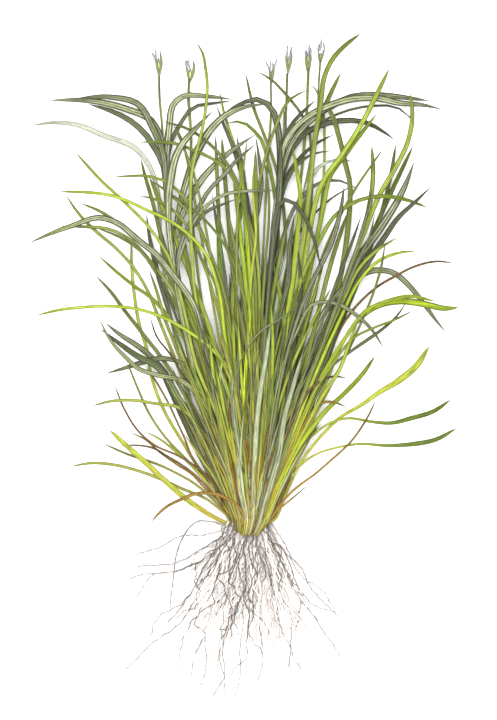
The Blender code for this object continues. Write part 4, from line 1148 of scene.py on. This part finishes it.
lay_part_seen(BACK_LEAVES)
lay_singles(SINGLE_LEAVES[:BACK_SINGLES])
lay_drawn(UPPER_COUNT, UPPER_SHARES, angle_spread=15, low=0.45, high=0.86, bend=13, wide=1.25)
lay_part_seen(MIDDLE_LEAVES)
lay_singles(SINGLE_LEAVES[BACK_SINGLES:FRONT_SINGLES])
lay_drawn(LOWER_COUNT, LOWER_SHARES, angle_spread=16, low=0.18, high=0.54, bend=13, wide=0.95)
# The thin drawn leaves are mostly dark: they are partly old narrow leaves and partly painted
# shade, dark strips that stand for the shade between the other leaves.
lay_drawn(THIN_COUNT, THIN_SHARES, angle_spread=20, low=0.15, high=0.5, bend=12, wide=0.55)
lay_drawn(FOOT_COUNT, FOOT_SHARES, angle_spread=20, low=0.08, high=0.3, bend=6, wide=0.9)
lay_part_seen(FRONT_LEAVES)
lay_singles(SINGLE_LEAVES[FRONT_SINGLES:])
print("heap height in mm:", round(float(heap.top.max()), 1))

# %% [markdown]
# ## Making the single leaves
#
# Each single leaf becomes a blade of its own. Its tone is drawn from the seed, except where the
# drawing shows a clearly light or dark one, and some tips are greener or darker than their leaf.

# %% Make the single leaves
TONES = {
    "green_leaf_04": 0.35, "green_leaf_09": 0.75, "green_leaf_11": 0.7, "green_leaf_12": 0.7,
    "yellow_leaf_01": 0.36, "yellow_leaf_02": 0.4, "dark_leaf_10": 0.1, "dark_leaf_11": 0.6,
    "brown_leaf_01": 0.4, "brown_leaf_02": 0.1, "brown_leaf_03": 0.7}
TIPS = {
    "dark_leaf_03": -0.6, "dark_leaf_08": 1.0, "dark_leaf_10": -0.9, "dark_leaf_11": -0.3,
    "dark_leaf_13": -1.0, "green_leaf_04": -0.5, "green_leaf_11": -1.0, "green_leaf_12": -1.0,
    "brown_leaf_01": -0.3}
SLIM = {"brown_leaf_02": 0.8, "yellow_leaf_02": 0.8}
DARK_TONES = (0.35, 0.8)
OTHER_TONES = (0.1, 0.75)
SINGLE_THICKNESS = 0.32
LONG_TAPERS = ("dark", "pale")
for number, (name, kind, width, route, height) in enumerate(singles):
    drawn_tone = draws.uniform(*(DARK_TONES if kind == "dark" else OTHER_TONES))
    shape = blade(route, height, width * SLIM.get(name, 1.0), SINGLE_THICKNESS, fold=0.34,
                  roll=0.22, seed=number * 1.37 + 2, tone=TONES.get(name, drawn_tone),
                  tip=TIPS.get(name, 0.0), around=16, arched=name in ARCHED,
                  closing=9.0 if kind in LONG_TAPERS else 3.0)
    add_piece(f"{name}_blade", shape, LEAF_LOOKS[kind], name)
print("made", len(singles), "single leaves")

# %% [markdown]
# ## Inner leaves
#
# Under everything that can be told apart lies the body of the tuft: leaves that rise from the
# crown in a fan, each at its own level of the dome. They aren't laid on each other, because
# hardly anything of them shows.

# %% Inner leaves, drawn from the seed
INNER_COUNT = 80
INNER_SHARES = {"lime": 0.56, "dark": 0.20, "pale": 0.12, "yellow": 0.12}
for number in range(INNER_COUNT):
    kind, width, points = drawn_leaf(INNER_SHARES, angle_spread=15, low=0.3, high=0.55, bend=6,
                                     wide=1.2)
    route = smooth_route(points, COARSE)
    level = (number + 0.5) / INNER_COUNT
    dome = fan_height(LEAF_FAN, route[:, 0], route[:, 1])
    height = GAP + level * np.maximum(dome, 0.5)
    inner.append((kind, width, False, *footed(route, squeezed(route, height))))
print("inner leaves:", len(inner))

# %% [markdown]
# The solid model holds the inner leaves as eight slices of the fan. Ours are sorted into the same
# slices by the angle of their middle, and all of one kind in one slice are joined.

# %% Make the inner leaves
INNER_THICKNESS = 0.2
bundles = {}
for number, (kind, width, arched, route, height) in enumerate(inner):
    middle = route[len(route) // 2]
    angle = fan_angle(LEAF_FAN, middle[0], middle[1])
    slice_number = int(np.clip(np.searchsorted(LEAF_FAN["edges"], angle), 1,
                               len(LEAF_FAN["reach"])))
    # The tone is drawn from the seed and, except on brown leaves, made darker the narrower the
    # leaf  is, so the thin leaves give dark lines that are in part painted shade between the
    # leaves.
    tone = draws.uniform(0.0, 1.0) * (1 if kind == "brown" else np.clip(width / 0.9 - 0.3, 0, 1))
    if kind == "dark":
        tone *= np.interp(route[-1, 1], [100, 130], [0.8, 0.9])
    shape = blade(route, height, width, INNER_THICKNESS, fold=0.36, roll=0.3,
                  seed=number * 2.11 + 50, tone=tone, tip=-draws.uniform(0, 1), around=10,
                  arched=arched, closing=6.0 if kind in LONG_TAPERS else 3.0)
    bundles.setdefault((slice_number, kind), []).append(shape)
for (slice_number, kind), shapes in sorted(bundles.items()):
    add_piece(f"inner_{kind}_leaves_{slice_number}", join(shapes), LEAF_LOOKS[kind],
              f"inner_leaves_{slice_number}")
print("pieces of inner leaves:", len(bundles))

# %% [markdown]
# ## Stalks
#
# A flower stalk is a thread-like tube, ribbed and a little uneven, straw-coloured at its foot.
# It is swept with a round section instead of a flat one.

# %% Stalk material and the six stalks
def tube(spine, radius, travelled, seed, tone, around):
    """A closed round tube along a spine: ring points are r (cos p, sin p), r from the radii."""
    angle = ring_angles(around)
    return swept_shape(spine, radius[:, None] * np.cos(angle), radius[:, None] * np.sin(angle),
                       np.zeros(len(spine)), travelled, seed, tone, radius.max())


stalk_look = leaf_material("flower_stalk", {
    "Body": (0.15, 0.19, 0.03), "Light": (0.32, 0.39, 0.07), "Edge": (0.045, 0.05, 0.02),
    "Vein": (0.045, 0.05, 0.02), "Foot": (0.40, 0.32, 0.10), "Spot": (0.04, 0.04, 0.02)},
    {"Vein count": 4.0, "Vein amount": 0.6, "Edge amount": 0.8, "Highlight amount": 0.7,
     "Foot length": 14.0, "Spot amount": 0.8})
STALK_AROUND = 8
STALK_RADII = [0.38, 0.45, 0.38, 0.42, 0.48, 0.32]
STALK_TONES = [0.1, 0.45, 0.25, 0.0, 0.6, 0.35]
for number, ((route, height), radius, tone) in enumerate(zip(stalks, STALK_RADII, STALK_TONES), 1):
    uneven = 1 + 0.08 * np.sin(np.linspace(0, 40, len(route)) + number)
    spine = np.column_stack([route, height])
    shape = tube(spine, radius * uneven, way_along(spine), number, tone, STALK_AROUND)
    add_piece(f"flower_stalk_{number}_tube", shape, stalk_look, f"flower_stalk_{number}")
print("stalks:", len(stalks))

# %% [markdown]
# ## Flowers
#
# Each flower opens from the end of its stalk in upright green sepals, round an inner part that is
# paler. Beyond them stand short petals, whitish with grey-purple tips. Every arm is a small
# leaf-shaped shell, and the arms' places are read one by one because no two flowers are open
# alike.

# %% Arms of the six flowers
FLOWER_ARMS = [
    [("sepal", 0.95, [(-31, 149.2), (-31.6, 152.4), (-32.1, 155.1), (-32.7, 156.6)]),
     ("sepal", 0.95, [(-31, 149.2), (-30.5, 152), (-30.2, 154.1), (-30.5, 156.6),
                      (-30.7, 158.3)]),
     ("inner", 1.1, [(-31, 149.2), (-31.1, 152.4), (-31.2, 155.8)]),
     ("petal", 0.75, [(-32.0, 154.4), (-32.9, 156.3), (-33.4, 157.6)]),
     ("petal", 0.7, [(-31.8, 154.6), (-32.1, 156.8), (-32, 158.6)])],
    [("sepal", 0.9, [(-20.9, 147.4), (-21.5, 150.9), (-22, 153.3)]),
     ("sepal", 1.0, [(-20.9, 147.4), (-19.9, 149.8), (-19.4, 152.4), (-19.6, 155)]),
     ("inner", 1.2, [(-20.9, 147.4), (-20.7, 149.8), (-20.6, 152.2)]),
     ("petal", 0.7, [(-21.7, 152.2), (-22.1, 153.8), (-21.9, 155)]),
     ("petal", 0.7, [(-20.7, 151.6), (-21.2, 153.8), (-20.9, 155.4)]),
     ("petal", 0.55, [(-20.5, 151.8), (-21.4, 153.9), (-22.2, 155)])],
    [("sepal", 0.85, [(6.3, 147), (5.9, 149.8), (5.7, 152)]),
     ("sepal", 0.95, [(6.3, 147), (6.9, 150), (7.2, 152.4), (7.7, 153.8)]),
     ("inner", 0.9, [(6.3, 147), (6.4, 149.4), (6.5, 151.4)]),
     ("petal", 0.65, [(5.8, 150.8), (5.2, 152.8), (4.4, 154.5)]),
     ("petal", 0.6, [(6.0, 151.0), (6.1, 153.2), (6.0, 154.9)]),
     ("petal", 0.7, [(7.2, 151.8), (7.8, 153.8), (8.5, 155.4)]),
     ("petal", 0.55, [(7, 151.4), (6.9, 153), (6.6, 154)])],
    [("sepal", 0.95, [(11.9, 150.4), (11.5, 154), (11.4, 156.4), (11.7, 158)]),
     ("sepal", 0.95, [(11.9, 150.4), (12.7, 153.8), (13.1, 155.9), (13.3, 157.4)]),
     ("inner", 0.9, [(11.9, 150.4), (12.2, 153.6), (12.2, 156.2)]),
     ("petal", 0.75, [(11.5, 155.4), (11.7, 158), (11.9, 160)]),
     ("petal", 0.75, [(13, 155), (12.9, 157.6), (13.3, 159.6)]),
     ("petal", 0.6, [(12.3, 154.6), (12.6, 156.6), (12.8, 157.8)])],
    [("sepal", 1.05, [(18.6, 150.4), (18.1, 153.6), (17.9, 156.4), (18.2, 158)]),
     ("sepal", 1.1, [(18.6, 150.4), (19.1, 153.6), (19.4, 156.4), (19.2, 157.8)]),
     ("inner", 1.3, [(18.6, 150.4), (18.7, 154), (18.7, 157.6)]),
     ("petal", 0.75, [(18.1, 155.6), (17.7, 157.2), (17.9, 158.4)]),
     ("petal", 0.7, [(18.8, 156.2), (18.9, 158.6), (19.1, 160.3)]),
     ("petal", 0.65, [(19.2, 156.2), (19.6, 157.8), (19.4, 159)])],
    [("sepal", 0.8, [(22.6, 153.8), (22.2, 156.2), (22, 158.4)]),
     ("sepal", 0.85, [(22.6, 153.8), (23.4, 156.4), (24, 158.6)]),
     ("inner", 0.9, [(22.6, 153.8), (22.8, 155.6), (22.9, 157.4)]),
     ("petal", 0.7, [(22, 157.2), (22, 158.8), (22.4, 160.3)]),
     ("petal", 0.7, [(23.9, 157.4), (24, 159.4), (23.6, 160.9)]),
     ("petal", 0.75, [(22.6, 157.8), (22.9, 160), (23, 162.2)])],
]
ARM_TONES = {"sepal": 0.0, "inner": 0.5, "petal": 1.0}
ARM_LIFTS = {"sepal": (0.0, 0.35), "inner": (-0.1, -0.15), "petal": (0.2, 0.9)}

# %% [markdown]
# One material serves all the arms of a flower. The tone that an arm carries says which kind it
# is: 0 is a green sepal, 0.5 the paler inner part and 1 a petal.

# %% Flower material: green arms, pale arms and grey-purple tips
SEPAL_GREEN = (0.10, 0.12, 0.02, 1)
INNER_GREEN = (0.44, 0.48, 0.12, 1)
PETAL_PALE = (0.30, 0.29, 0.31, 1)
PETAL_DARK = (0.13, 0.12, 0.15, 1)
TIP_PURPLE = (0.07, 0.055, 0.08, 1)
DARK_RIM = (0.04, 0.045, 0.025, 1)
FINE_RELIEF = 0.0001
flower_look, tree, shader = new_material("flower", roughness=0.6)
held = stored(tree, "blade")
share, tone, _ = stored(tree, "leaf")
grain = own_noise(tree, held, (2.5, 0.7, 1.0), 1.6)
green = mixed(tree, ease(tree, tone, 0.1, 0.5), SEPAL_GREEN, INNER_GREEN)
petal_white = mixed(tree, ease(tree, grain, 0.35, 0.65), PETAL_PALE, PETAL_DARK)
whole = mixed(tree, ease(tree, tone, 0.6, 0.9), green, petal_white)
tips = ease(tree, plus(tree, share, wobble(tree, grain, 0.5)), 0.55, 0.9)
whole = mixed(tree, times(tree, tips, 0.9), whole, TIP_PURPLE)
rims = ease(tree, maths(tree, "ABSOLUTE", held[0]), 0.4, 0.8, 0.0, 0.85)
whole = mixed(tree, rims, whole, DARK_RIM)
surface(tree, shader, whole, grain, 0.2, FINE_RELIEF)
print("flower nodes:", len(tree.nodes))

# %% [markdown]
# An arm is swept like a blade, but it is short, hollow along its middle and widest half way. It
# starts near the height of its stalk's end, and climbs or sinks a little on its way.

# %% Build the flowers
ARM_STEPS = 20
ARM_AROUND = 10


def arm(points, low, rise, width, seed, tone):
    """A small closed leaf shape with a point.

    Its half width is 0.52 w (0.45 + 0.55 sin(pi (0.8 s + 0.05))) sqrt(1 - s^4), with w the given
    width and s the share of the way along. It climbs as s^1.4.
    """
    s = np.linspace(0, 1, ARM_STEPS + 1)
    half = width * 0.52 * (0.45 + 0.55 * np.sin(math.pi * np.minimum(s * 0.8 + 0.05, 1)))
    half = half * np.sqrt(np.maximum(1 - s ** 4, 0.001))
    spine = np.column_stack([smooth_route(points, ARM_STEPS), low + rise * s ** 1.4])
    angle = ring_angles(ARM_AROUND)
    across = half[:, None] * np.cos(angle)
    up = 0.4 * half[:, None] * np.sin(angle) + 0.3 * half[:, None] * np.cos(angle) ** 2
    return swept_shape(spine, across, up, np.zeros(len(s)), s * way_along(spine)[-1], seed, tone,
                       width)


for number, arms in enumerate(FLOWER_ARMS, 1):
    foot = stalks[number - 1][1][-1]
    shapes = []
    for k, (kind, width, points) in enumerate(arms):
        low, rise = ARM_LIFTS[kind]
        shapes.append(arm(points, foot + low, rise, width, number * 9 + k, ARM_TONES[kind]))
    add_piece(f"flower_{number}_sepals_and_petals", join(shapes), flower_look,
              f"flower_{number}")
print("flowers:", len(FLOWER_ARMS))

# %% [markdown]
# ## Crown
#
# The crown is the short stem that carries everything. It hardly shows, because the feet of the
# leaves clasp it from above and the roots leave it below. It is a lumpy ovoid, cut off flat by
# the table that it lies on.

# %% Crown: a lumpy ovoid from arrays
CROWN_HALF = np.array([6.0, 2.4, 3.2])
CROWN_MIDDLE = np.array([-1.4, 1.0, 3.1])
CROWN_RUN = 14
CROWN_TONE = 0.3
OFF_TABLE = 0.02
around, levels = 96, 40
turn, tilt = np.meshgrid(ring_angles(around), np.linspace(-1, 1, levels + 2)[1:-1] * math.pi / 2)
direction = np.stack([np.cos(turn) * np.cos(tilt), np.sin(turn) * np.cos(tilt), np.sin(tilt)], -1)
lumps = (1 + 0.05 * np.sin(9 * turn + 3 * tilt) * np.cos(tilt)
         + 0.035 * np.sin(23 * turn + 2 * np.sin(5 * tilt)) * np.cos(tilt)
         + 0.03 * np.sin(14 * tilt + 2 * np.cos(3 * turn)) * np.cos(tilt))
rings = CROWN_MIDDLE + direction * CROWN_HALF * lumps[..., None]
points = np.vstack([rings.reshape(-1, 3), CROWN_MIDDLE - [0, 0, CROWN_HALF[2]],
                    CROWN_MIDDLE + [0, 0, CROWN_HALF[2]]])
points[:, 2] = np.maximum(points[:, 2], OFF_TABLE)
quads, triangles = sweep_faces(levels, around)
share = np.append(np.repeat(np.linspace(0, 1, levels), around), [0, 1])
ribs = np.append(np.tile(np.cos(9 * turn[0]), levels), [0, 0])
crown_shape = {
    "points": points, "quads": quads, "triangles": triangles,
    "uv": np.column_stack([np.append(np.tile(turn[0] / 7, levels), [0, 0]), share]),
    "blade": np.column_stack([ribs, share * CROWN_RUN, np.zeros(len(points))]),
    "leaf": np.column_stack([share, np.full(len(points), CROWN_TONE), share])}
crown_look = leaf_material("crown", {
    "Body": (0.20, 0.14, 0.08), "Light": (0.42, 0.32, 0.16), "Edge": (0.07, 0.05, 0.03),
    "Vein": (0.08, 0.055, 0.03), "Foot": (0.30, 0.22, 0.12), "Spot": (0.05, 0.035, 0.02)},
    {"Vein count": 7.0, "Vein amount": 0.7, "Edge amount": 0.6, "Highlight amount": 0.8,
     "Foot length": 6.0, "Spot amount": 0.7}, bump=0.6)
add_piece("crown_stem", crown_shape, crown_look, "crown")
print("crown faces:", len(quads) + len(triangles))

# %% [markdown]
# ## Roots
#
# Roots of a plant that grew in gravel turn at every grain they meet, so they zigzag. We take
# smooth guides, add two zigzag waves of different lengths, and carry a round section along the
# result. All roots are bent and lifted at once, in arrays that have one row to a root.
#
# Each guide is listed: how thick it looks beside the others, and its points from the crown
# outwards.

# %% Guides of the roots that can be told apart
DARK_ROOTS = [
    (0.30, [(-8, -1), (-10.4, -2.5), (-12.7, -5.2), (-16.1, -11), (-18.5, -19.6),
            (-19, -24.2), (-24.5, -31.5)]),
    (0.30, [(-7, -2), (-9.2, -5.2), (-11, -11), (-17.3, -18.5)]),
    (0.32, [(-6, -2.5), (-7.5, -9.2), (-12.7, -21.9), (-16.1, -28.3), (-17.6, -30.6),
            (-16.7, -36.4)]),
    (0.30, [(-7, -3), (-10.4, -12.7), (-9.2, -19.6), (-8.1, -29), (-8.1, -33),
            (-13.3, -36.9)]),
    (0.34, [(-5, -3.5), (-6.9, -15), (-5.2, -29.4), (-8.4, -37.5)]),
    (0.34, [(-0.6, -3), (0, -12.7), (-0.3, -25.4), (0.6, -39.2), (2.9, -43.3)]),
    (0.28, [(0.6, -4), (1, -16), (1.2, -27.7), (4.6, -35.2), (4.6, -39.8)]),
    (0.42, [(1.8, -3), (2.9, -12.7), (4, -16.2), (3.2, -19)]),
    (0.40, [(4, -2), (5.2, -4.6), (8.7, -8.1), (9.2, -19.6), (8.4, -21.9)]),
    (0.32, [(5.4, -2.5), (6.9, -5.2), (11.3, -15), (12.1, -17.3)]),
    (0.26, [(-8, -2), (-13.5, -5.5), (-17.8, -8.6), (-20, -14)]),
    (0.26, [(-3.4, -3), (-4.2, -10), (-6.6, -17), (-9.8, -24.5), (-12, -30)]),
    (0.26, [(2.6, -3), (4.6, -10), (6.2, -17), (6, -24)]),
    (0.24, [(-2, -3), (-4, -12), (-3.4, -22), (-5.8, -31), (-5, -38)]),
]
PALE_ROOTS = [
    (0.24, [(7, -2), (9.4, -7), (12.7, -13.9), (15.6, -20.8), (14.4, -35.8)]),
    (0.22, [(7.6, -1.6), (12.1, -8.1), (19, -19.6), (26, -28.3)]),
    (0.22, [(6.6, -3), (11, -14), (15.6, -24.2), (24.2, -35.2), (29, -44)]),
    (0.24, [(-8.6, 0.2), (-13, 1.2), (-17.9, 1.7), (-23.7, -5.8), (-26.5, -17.3),
            (-27.1, -27.7)]),
    (0.26, [(-8.8, -1), (-16.7, -8.1), (-30, -13.3), (-38.1, -13.9)]),
    (0.22, [(-8.6, -2), (-17, -12), (-25.4, -15), (-33.5, -16.2), (-41, -17.9)]),
    (0.20, [(-12, -9), (-25, -15.4), (-33.5, -16.2), (-36, -20), (-38.7, -25.2)]),
    (0.22, [(-9, -5), (-18, -22), (-25.4, -34), (-34.6, -40.4), (-42.1, -47.9)]),
    (0.20, [(-8, -5), (-17, -18), (-23, -26), (-29.4, -28.9), (-34.3, -37.4)]),
    (0.22, [(-5, -6), (-12, -26), (-16, -38), (-15, -46), (-17.3, -53.7)]),
    (0.22, [(-3, -6), (-7, -28), (-10, -42), (-9, -50), (-13.3, -57)]),
    (0.20, [(-2, -6), (-6, -30), (-11, -44), (-9.5, -52), (-8.7, -57)]),
    (0.20, [(-1, -6), (-3, -28), (-4, -44), (-4.4, -52), (-5.5, -57.6)]),
    (0.22, [(1, -5), (2, -26), (3, -40), (3.6, -46), (2, -52)]),
    (0.22, [(4, -4), (7, -22), (9, -33), (13, -41), (11.6, -49)]),
    (0.20, [(5, -4), (10, -22), (13, -34), (13.5, -42), (16, -48.5)]),
    (0.20, [(6, -3), (13, -18), (20, -26), (28, -29.5)]),
    (0.20, [(-8.6, 0), (-16, -3), (-26, -4.5), (-33, -8), (-39, -10)]),
    (0.18, [(6.5, -2), (12, -10), (16, -17), (24, -22), (28.5, -31)]),
    (0.20, [(-6, -5), (-13, -20), (-20, -33), (-24, -41), (-25, -47)]),
    (0.20, [(-5, -6), (-11, -24), (-16, -36), (-19, -44), (-20.5, -50)]),
]

# %% [markdown]
# ## Zigzag
#
# A root's route is its guide pushed from side to side, and its height is a share of the low dome
# that the solid model's root slices fill. Paler roots lie low and darker ones on top.

# %% From guides to zigzag roots
DARK_RADIUS_SHARE = 0.56
PALE_RADIUS_SHARE = 1.25
ZIGZAGS = ((6.4, 0.42), (3.0, 0.2))
SWAY = 1.5


def from_crown(points):
    """Start a root inside the crown, under the feet of the leaves."""
    return [(points[0][0] * 0.8 - 0.3, 1.8)] + points


def zigzag(routes, amounts):
    """Push each point sideways by two waves of asin(sin x), which are zigzags, and by a slower
    sine. The push grows from nothing over the first few millimetres.
    """
    ahead = np.gradient(routes, axis=1)
    length = np.linalg.norm(ahead, axis=2)
    side = np.stack([-ahead[..., 1], ahead[..., 0]], -1) / length[..., None]
    travelled = np.cumsum(length, axis=1)
    one_each = (len(routes), 1)
    push = SWAY * np.sin(2 * math.pi * travelled / draws.uniform(13, 26, one_each)
                         + draws.uniform(0, 6.3, one_each))
    for wave, reach in ZIGZAGS:
        spread = travelled * 2 * math.pi / (wave * draws.uniform(0.6, 1.9, one_each))
        push += reach * np.arcsin(np.sin(spread + draws.uniform(0, 6.3, one_each)))
    ramp = np.minimum(travelled / 5, 1) * amounts[:, None]
    return routes + side * (push * ramp)[..., None]


def root_heights(routes, level, radius):
    """A level share of the dome over the fine roots, smoothed along each root. Near the crown it
    rises to the crown's side.
    """
    dome = fan_height(ROOT_FAN, routes[..., 0], routes[..., 1], -1)
    padded = np.pad(dome, ((0, 0), (4, 4)), mode="edge")
    smooth = sum(padded[:, k:k + dome.shape[1]] for k in range(9)) / 9
    off_crown = np.clip((-routes[..., 1] + 1) / 12, 0, 1)
    lift = (1 - off_crown) ** 2 * (2 + 4 * level[:, None])
    return radius + 0.1 + smooth * level[:, None] * (1 - 0.4 * (1 - off_crown)) + lift


def root_set(routes, heights, radii, tones, around):
    """All roots of one set, each a closed tube with a number of its own. Rows are roots."""
    tubes = []
    for row, (route, height) in enumerate(zip(routes, heights)):
        spine = np.column_stack([route, height])
        travelled = np.cumsum(np.linalg.norm(np.gradient(spine, axis=0), axis=1))
        tubes.append(tube(spine, radii[row], travelled, row * 1.7, tones[row], around))
    return join(tubes)


ROOT_RINGS = 90
guides = np.stack([smooth_route(from_crown(points), ROOT_RINGS - 1)
                   for _, points in DARK_ROOTS + PALE_ROOTS])
guide_radius = np.array([radius for radius, _ in DARK_ROOTS + PALE_ROOTS])
guide_radius = guide_radius * np.repeat([DARK_RADIUS_SHARE, PALE_RADIUS_SHARE],
                                        [len(DARK_ROOTS), len(PALE_ROOTS)])
guide_tone = np.concatenate([draws.uniform(-0.1, 0.12, len(DARK_ROOTS)),
                             draws.uniform(0.24, 0.31, len(PALE_ROOTS))])
guide_level = np.concatenate([draws.uniform(0.75, 1.0, len(DARK_ROOTS)),
                              draws.uniform(0.05, 0.3, len(PALE_ROOTS))])
print("guide roots:", len(guides))

# %% [markdown]
# ## Roots between the guides
#
# The beard is full of fainter roots that can't be followed one by one. They are drawn from the
# seed within the fan: a few dark short ones near the crown, and many pale ones that reach out.

# %% Fill roots, drawn from the seed
FILL_ROOTS = 140
DARK_FILL = 14
ROOT_LIMITS = (-38, 55)
fill_angle = np.clip(draws.normal(6, 21, FILL_ROOTS), *ROOT_LIMITS)
fill_reach = np.interp(fill_angle, ROOT_FAN["angle"], ROOT_FAN["reach"])
fill_dark = np.arange(FILL_ROOTS) < DARK_FILL


def dark_or_pale(dark_range, pale_range):
    """A draw for each fill root, from the one range or the other."""
    return np.where(fill_dark, draws.uniform(*dark_range, FILL_ROOTS),
                    draws.uniform(*pale_range, FILL_ROOTS))


fill_length = fill_reach * dark_or_pale((0.12, 0.6), (0.3, 0.88))
fill_start = np.stack([-6.5 * np.clip(fill_angle / 40, -0.6, 1) + draws.normal(0, 1, FILL_ROOTS),
                       draws.uniform(0, 2.5, FILL_ROOTS)], -1)
way = np.linspace(0, 1, ROOT_RINGS)[None, :]
fill_heading = np.radians(fill_angle[:, None] * (0.55 + 0.6 * way))
fill_step = (fill_length / ROOT_RINGS)[:, None]
fill = fill_start[:, None] + np.stack([np.cumsum(-np.sin(fill_heading) * fill_step, axis=1),
                                       np.cumsum(-np.cos(fill_heading) * fill_step, axis=1)], -1)
fill_tone = dark_or_pale((0.1, 0.3), (0.58, 1.0))
fill_radius = dark_or_pale((0.10, 0.16), (0.16, 0.4))

crooked = np.repeat([0.7, 0.25, 0.6], [len(DARK_ROOTS), len(PALE_ROOTS), FILL_ROOTS])
routes = zigzag(np.concatenate([guides, fill]),
                crooked * draws.uniform(0.5, 1.4, len(crooked)))
radii = np.concatenate([guide_radius, fill_radius])[:, None] * (1 - 0.22 * way ** 1.3)
radii = radii * (1 + 0.12 * np.sin(way * 90 + np.arange(len(routes))[:, None] * 2.4))
tones = np.concatenate([guide_tone, fill_tone])
levels = np.concatenate([guide_level, dark_or_pale((0.7, 1.0), (0.0, 0.7))])
heights = root_heights(routes, levels, radii)
print("roots:", len(routes))

# %% [markdown]
# ## Rootlets
#
# Short hairs branch off to both sides. Each starts at a ring of a root and takes its height and
# its tone from there, a little paler.

# %% Rootlets, each a short branch of one of the roots
ROOTLETS = 80
ROOTLET_RINGS = 22
parent = draws.integers(0, len(routes), ROOTLETS)
spot = draws.integers(8, ROOT_RINGS - 6, ROOTLETS)
start = routes[parent, spot]
ahead = routes[parent, spot + 2] - routes[parent, spot - 2]
turned = (np.arctan2(ahead[:, 0], -ahead[:, 1])
          + draws.choice([-1, 1], ROOTLETS) * draws.uniform(0.35, 1.1, ROOTLETS))
reach = draws.uniform(3, 12, ROOTLETS)
short_way = np.linspace(0, 1, ROOTLET_RINGS)[None, :]
heading = turned[:, None] * (1 - 0.6 * short_way)
step = (reach / ROOTLET_RINGS)[:, None]
branches = start[:, None] + np.stack([np.cumsum(np.sin(heading) * step, axis=1),
                                      np.cumsum(-np.cos(heading) * step, axis=1)], -1)
branches = zigzag(branches, np.full(ROOTLETS, 0.55))
thin = draws.uniform(0.07, 0.14, ROOTLETS)[:, None] * (1 - 0.6 * short_way)
from_height = heights[parent, spot][:, None]
branch_heights = thin + 0.05 + (from_height - thin - 0.05) * (1 - 0.75 * short_way ** 0.7)
branch_tones = np.clip(tones[parent] + draws.normal(0.2, 0.15, ROOTLETS), 0, 1)
print("rootlets:", ROOTLETS)

# %% [markdown]
# ## The look of a root
#
# A root's tone says how light it is. Patches along it vary that, more on the dark roots, and the
# first millimetres are lighter. Two steps of colour run from brown-black through mauve to pale.

# %% Root material
DARK_ROOT = (0.07, 0.055, 0.045, 1)
MAUVE_ROOT = (0.34, 0.305, 0.283, 1)
PALE_ROOT = (0.60, 0.56, 0.535, 1)
root_look, tree, shader = new_material("root", roughness=0.8)
held = stored(tree, "blade")
share, tone, _ = stored(tree, "leaf")
patches = own_noise(tree, held, (1.0, 0.33, 1.0), 1.4)
fibres = own_noise(tree, held, (4.0, 1.0, 1.0), 2.0, 2.0)
patchy = wobble(tree, patches, ease(tree, tone, 0.1, 0.5, 1.2, 0.3))
lightness = plus(tree, tone, plus(tree, times(tree, share, 0.1), patchy))
lightness = plus(tree, lightness, ease(tree, held[1], 15.0, 4.0, 0.0, 0.2))
whole = mixed(tree, ease(tree, lightness, 0.1, 0.6), DARK_ROOT, MAUVE_ROOT)
whole = mixed(tree, ease(tree, lightness, 0.6, 0.95), whole, PALE_ROOT)
surface(tree, shader, whole, fibres, 0.3, FINE_RELIEF)
print("root nodes:", len(tree.nodes))

# %% [markdown]
# ## Making the fine roots
#
# The solid model holds the fine roots as four slices of their fan. Each root and each rootlet goes
# to the slice that its middle lies in.

# %% Make the root pieces, one to each bundle of the solid model
ROOT_SLICES = len(ROOT_FAN["reach"])
ROOT_AROUND = 7
ROOTLET_AROUND = 5


def root_slices(paths):
    """Which bundle of the solid model each root belongs to, from the angle of its middle."""
    middle = paths[:, paths.shape[1] // 2]
    angle = fan_angle(ROOT_FAN, middle[:, 0], middle[:, 1], -1)
    return ROOT_SLICES - np.searchsorted(ROOT_FAN["edges"][1:-1], angle)


root_bundle = root_slices(routes)
branch_bundle = root_slices(branches)
for number in range(1, ROOT_SLICES + 1):
    own, short = root_bundle == number, branch_bundle == number
    shape = join([root_set(routes[own], heights[own], radii[own], tones[own], ROOT_AROUND),
                  root_set(branches[short], branch_heights[short], thin[short],
                           branch_tones[short], ROOTLET_AROUND)])
    add_piece(f"fine_root_tangle_{number}", shape, root_look, f"fine_roots_{number}")
    print("bundle", number, "roots:", int(own.sum()), "rootlets:", int(short.sum()))

# %% [markdown]
# ## Strong roots
#
# Two dark roots can be followed all the way, so the solid model holds each on its own. They lie
# on top of the fine ones and are made like them, with more rings and a rounder section.

# %% The two strong roots
STRONG_RINGS = 96
STRONG_AROUND = 10
STRONG_TONE = np.array([0.05])
STRONG_ROOTS = [
    [(-1.6, -3), (-2.2, -6), (-2.3, -9.8), (-2.6, -14), (-1.9, -19.6), (-2.3, -26),
     (-1.1, -32.3), (-1.4, -38), (-2.3, -43.3), (-4.8, -46.6), (-6.6, -50.2)],
    [(-6.5, -2.5), (-9.8, -6), (-12.7, -8.2), (-15.4, -12), (-17, -16), (-18.5, -19.6),
     (-19.6, -22.6), (-21.9, -24.8), (-25, -28.6), (-28.6, -31.5)],
]
strong_way = np.linspace(0, 1, STRONG_RINGS)[None]
for number, points in enumerate(STRONG_ROOTS, 1):
    route = smooth_route(from_crown(points), STRONG_RINGS - 1)[None]
    route = zigzag(route, np.array([0.35]))
    radius = ROOT_WIDTH / 4 * (1 - 0.3 * strong_way)
    radius = radius * (1 + 0.1 * np.sin(strong_way * 70 + number))
    height = root_heights(route, np.array([1.0]), radius) + 0.4
    shape = root_set(route, height, radius, STRONG_TONE, STRONG_AROUND)
    add_piece(f"strong_root_{number}_tube", shape, root_look, f"strong_root_{number}")
print("strong roots:", len(STRONG_ROOTS))
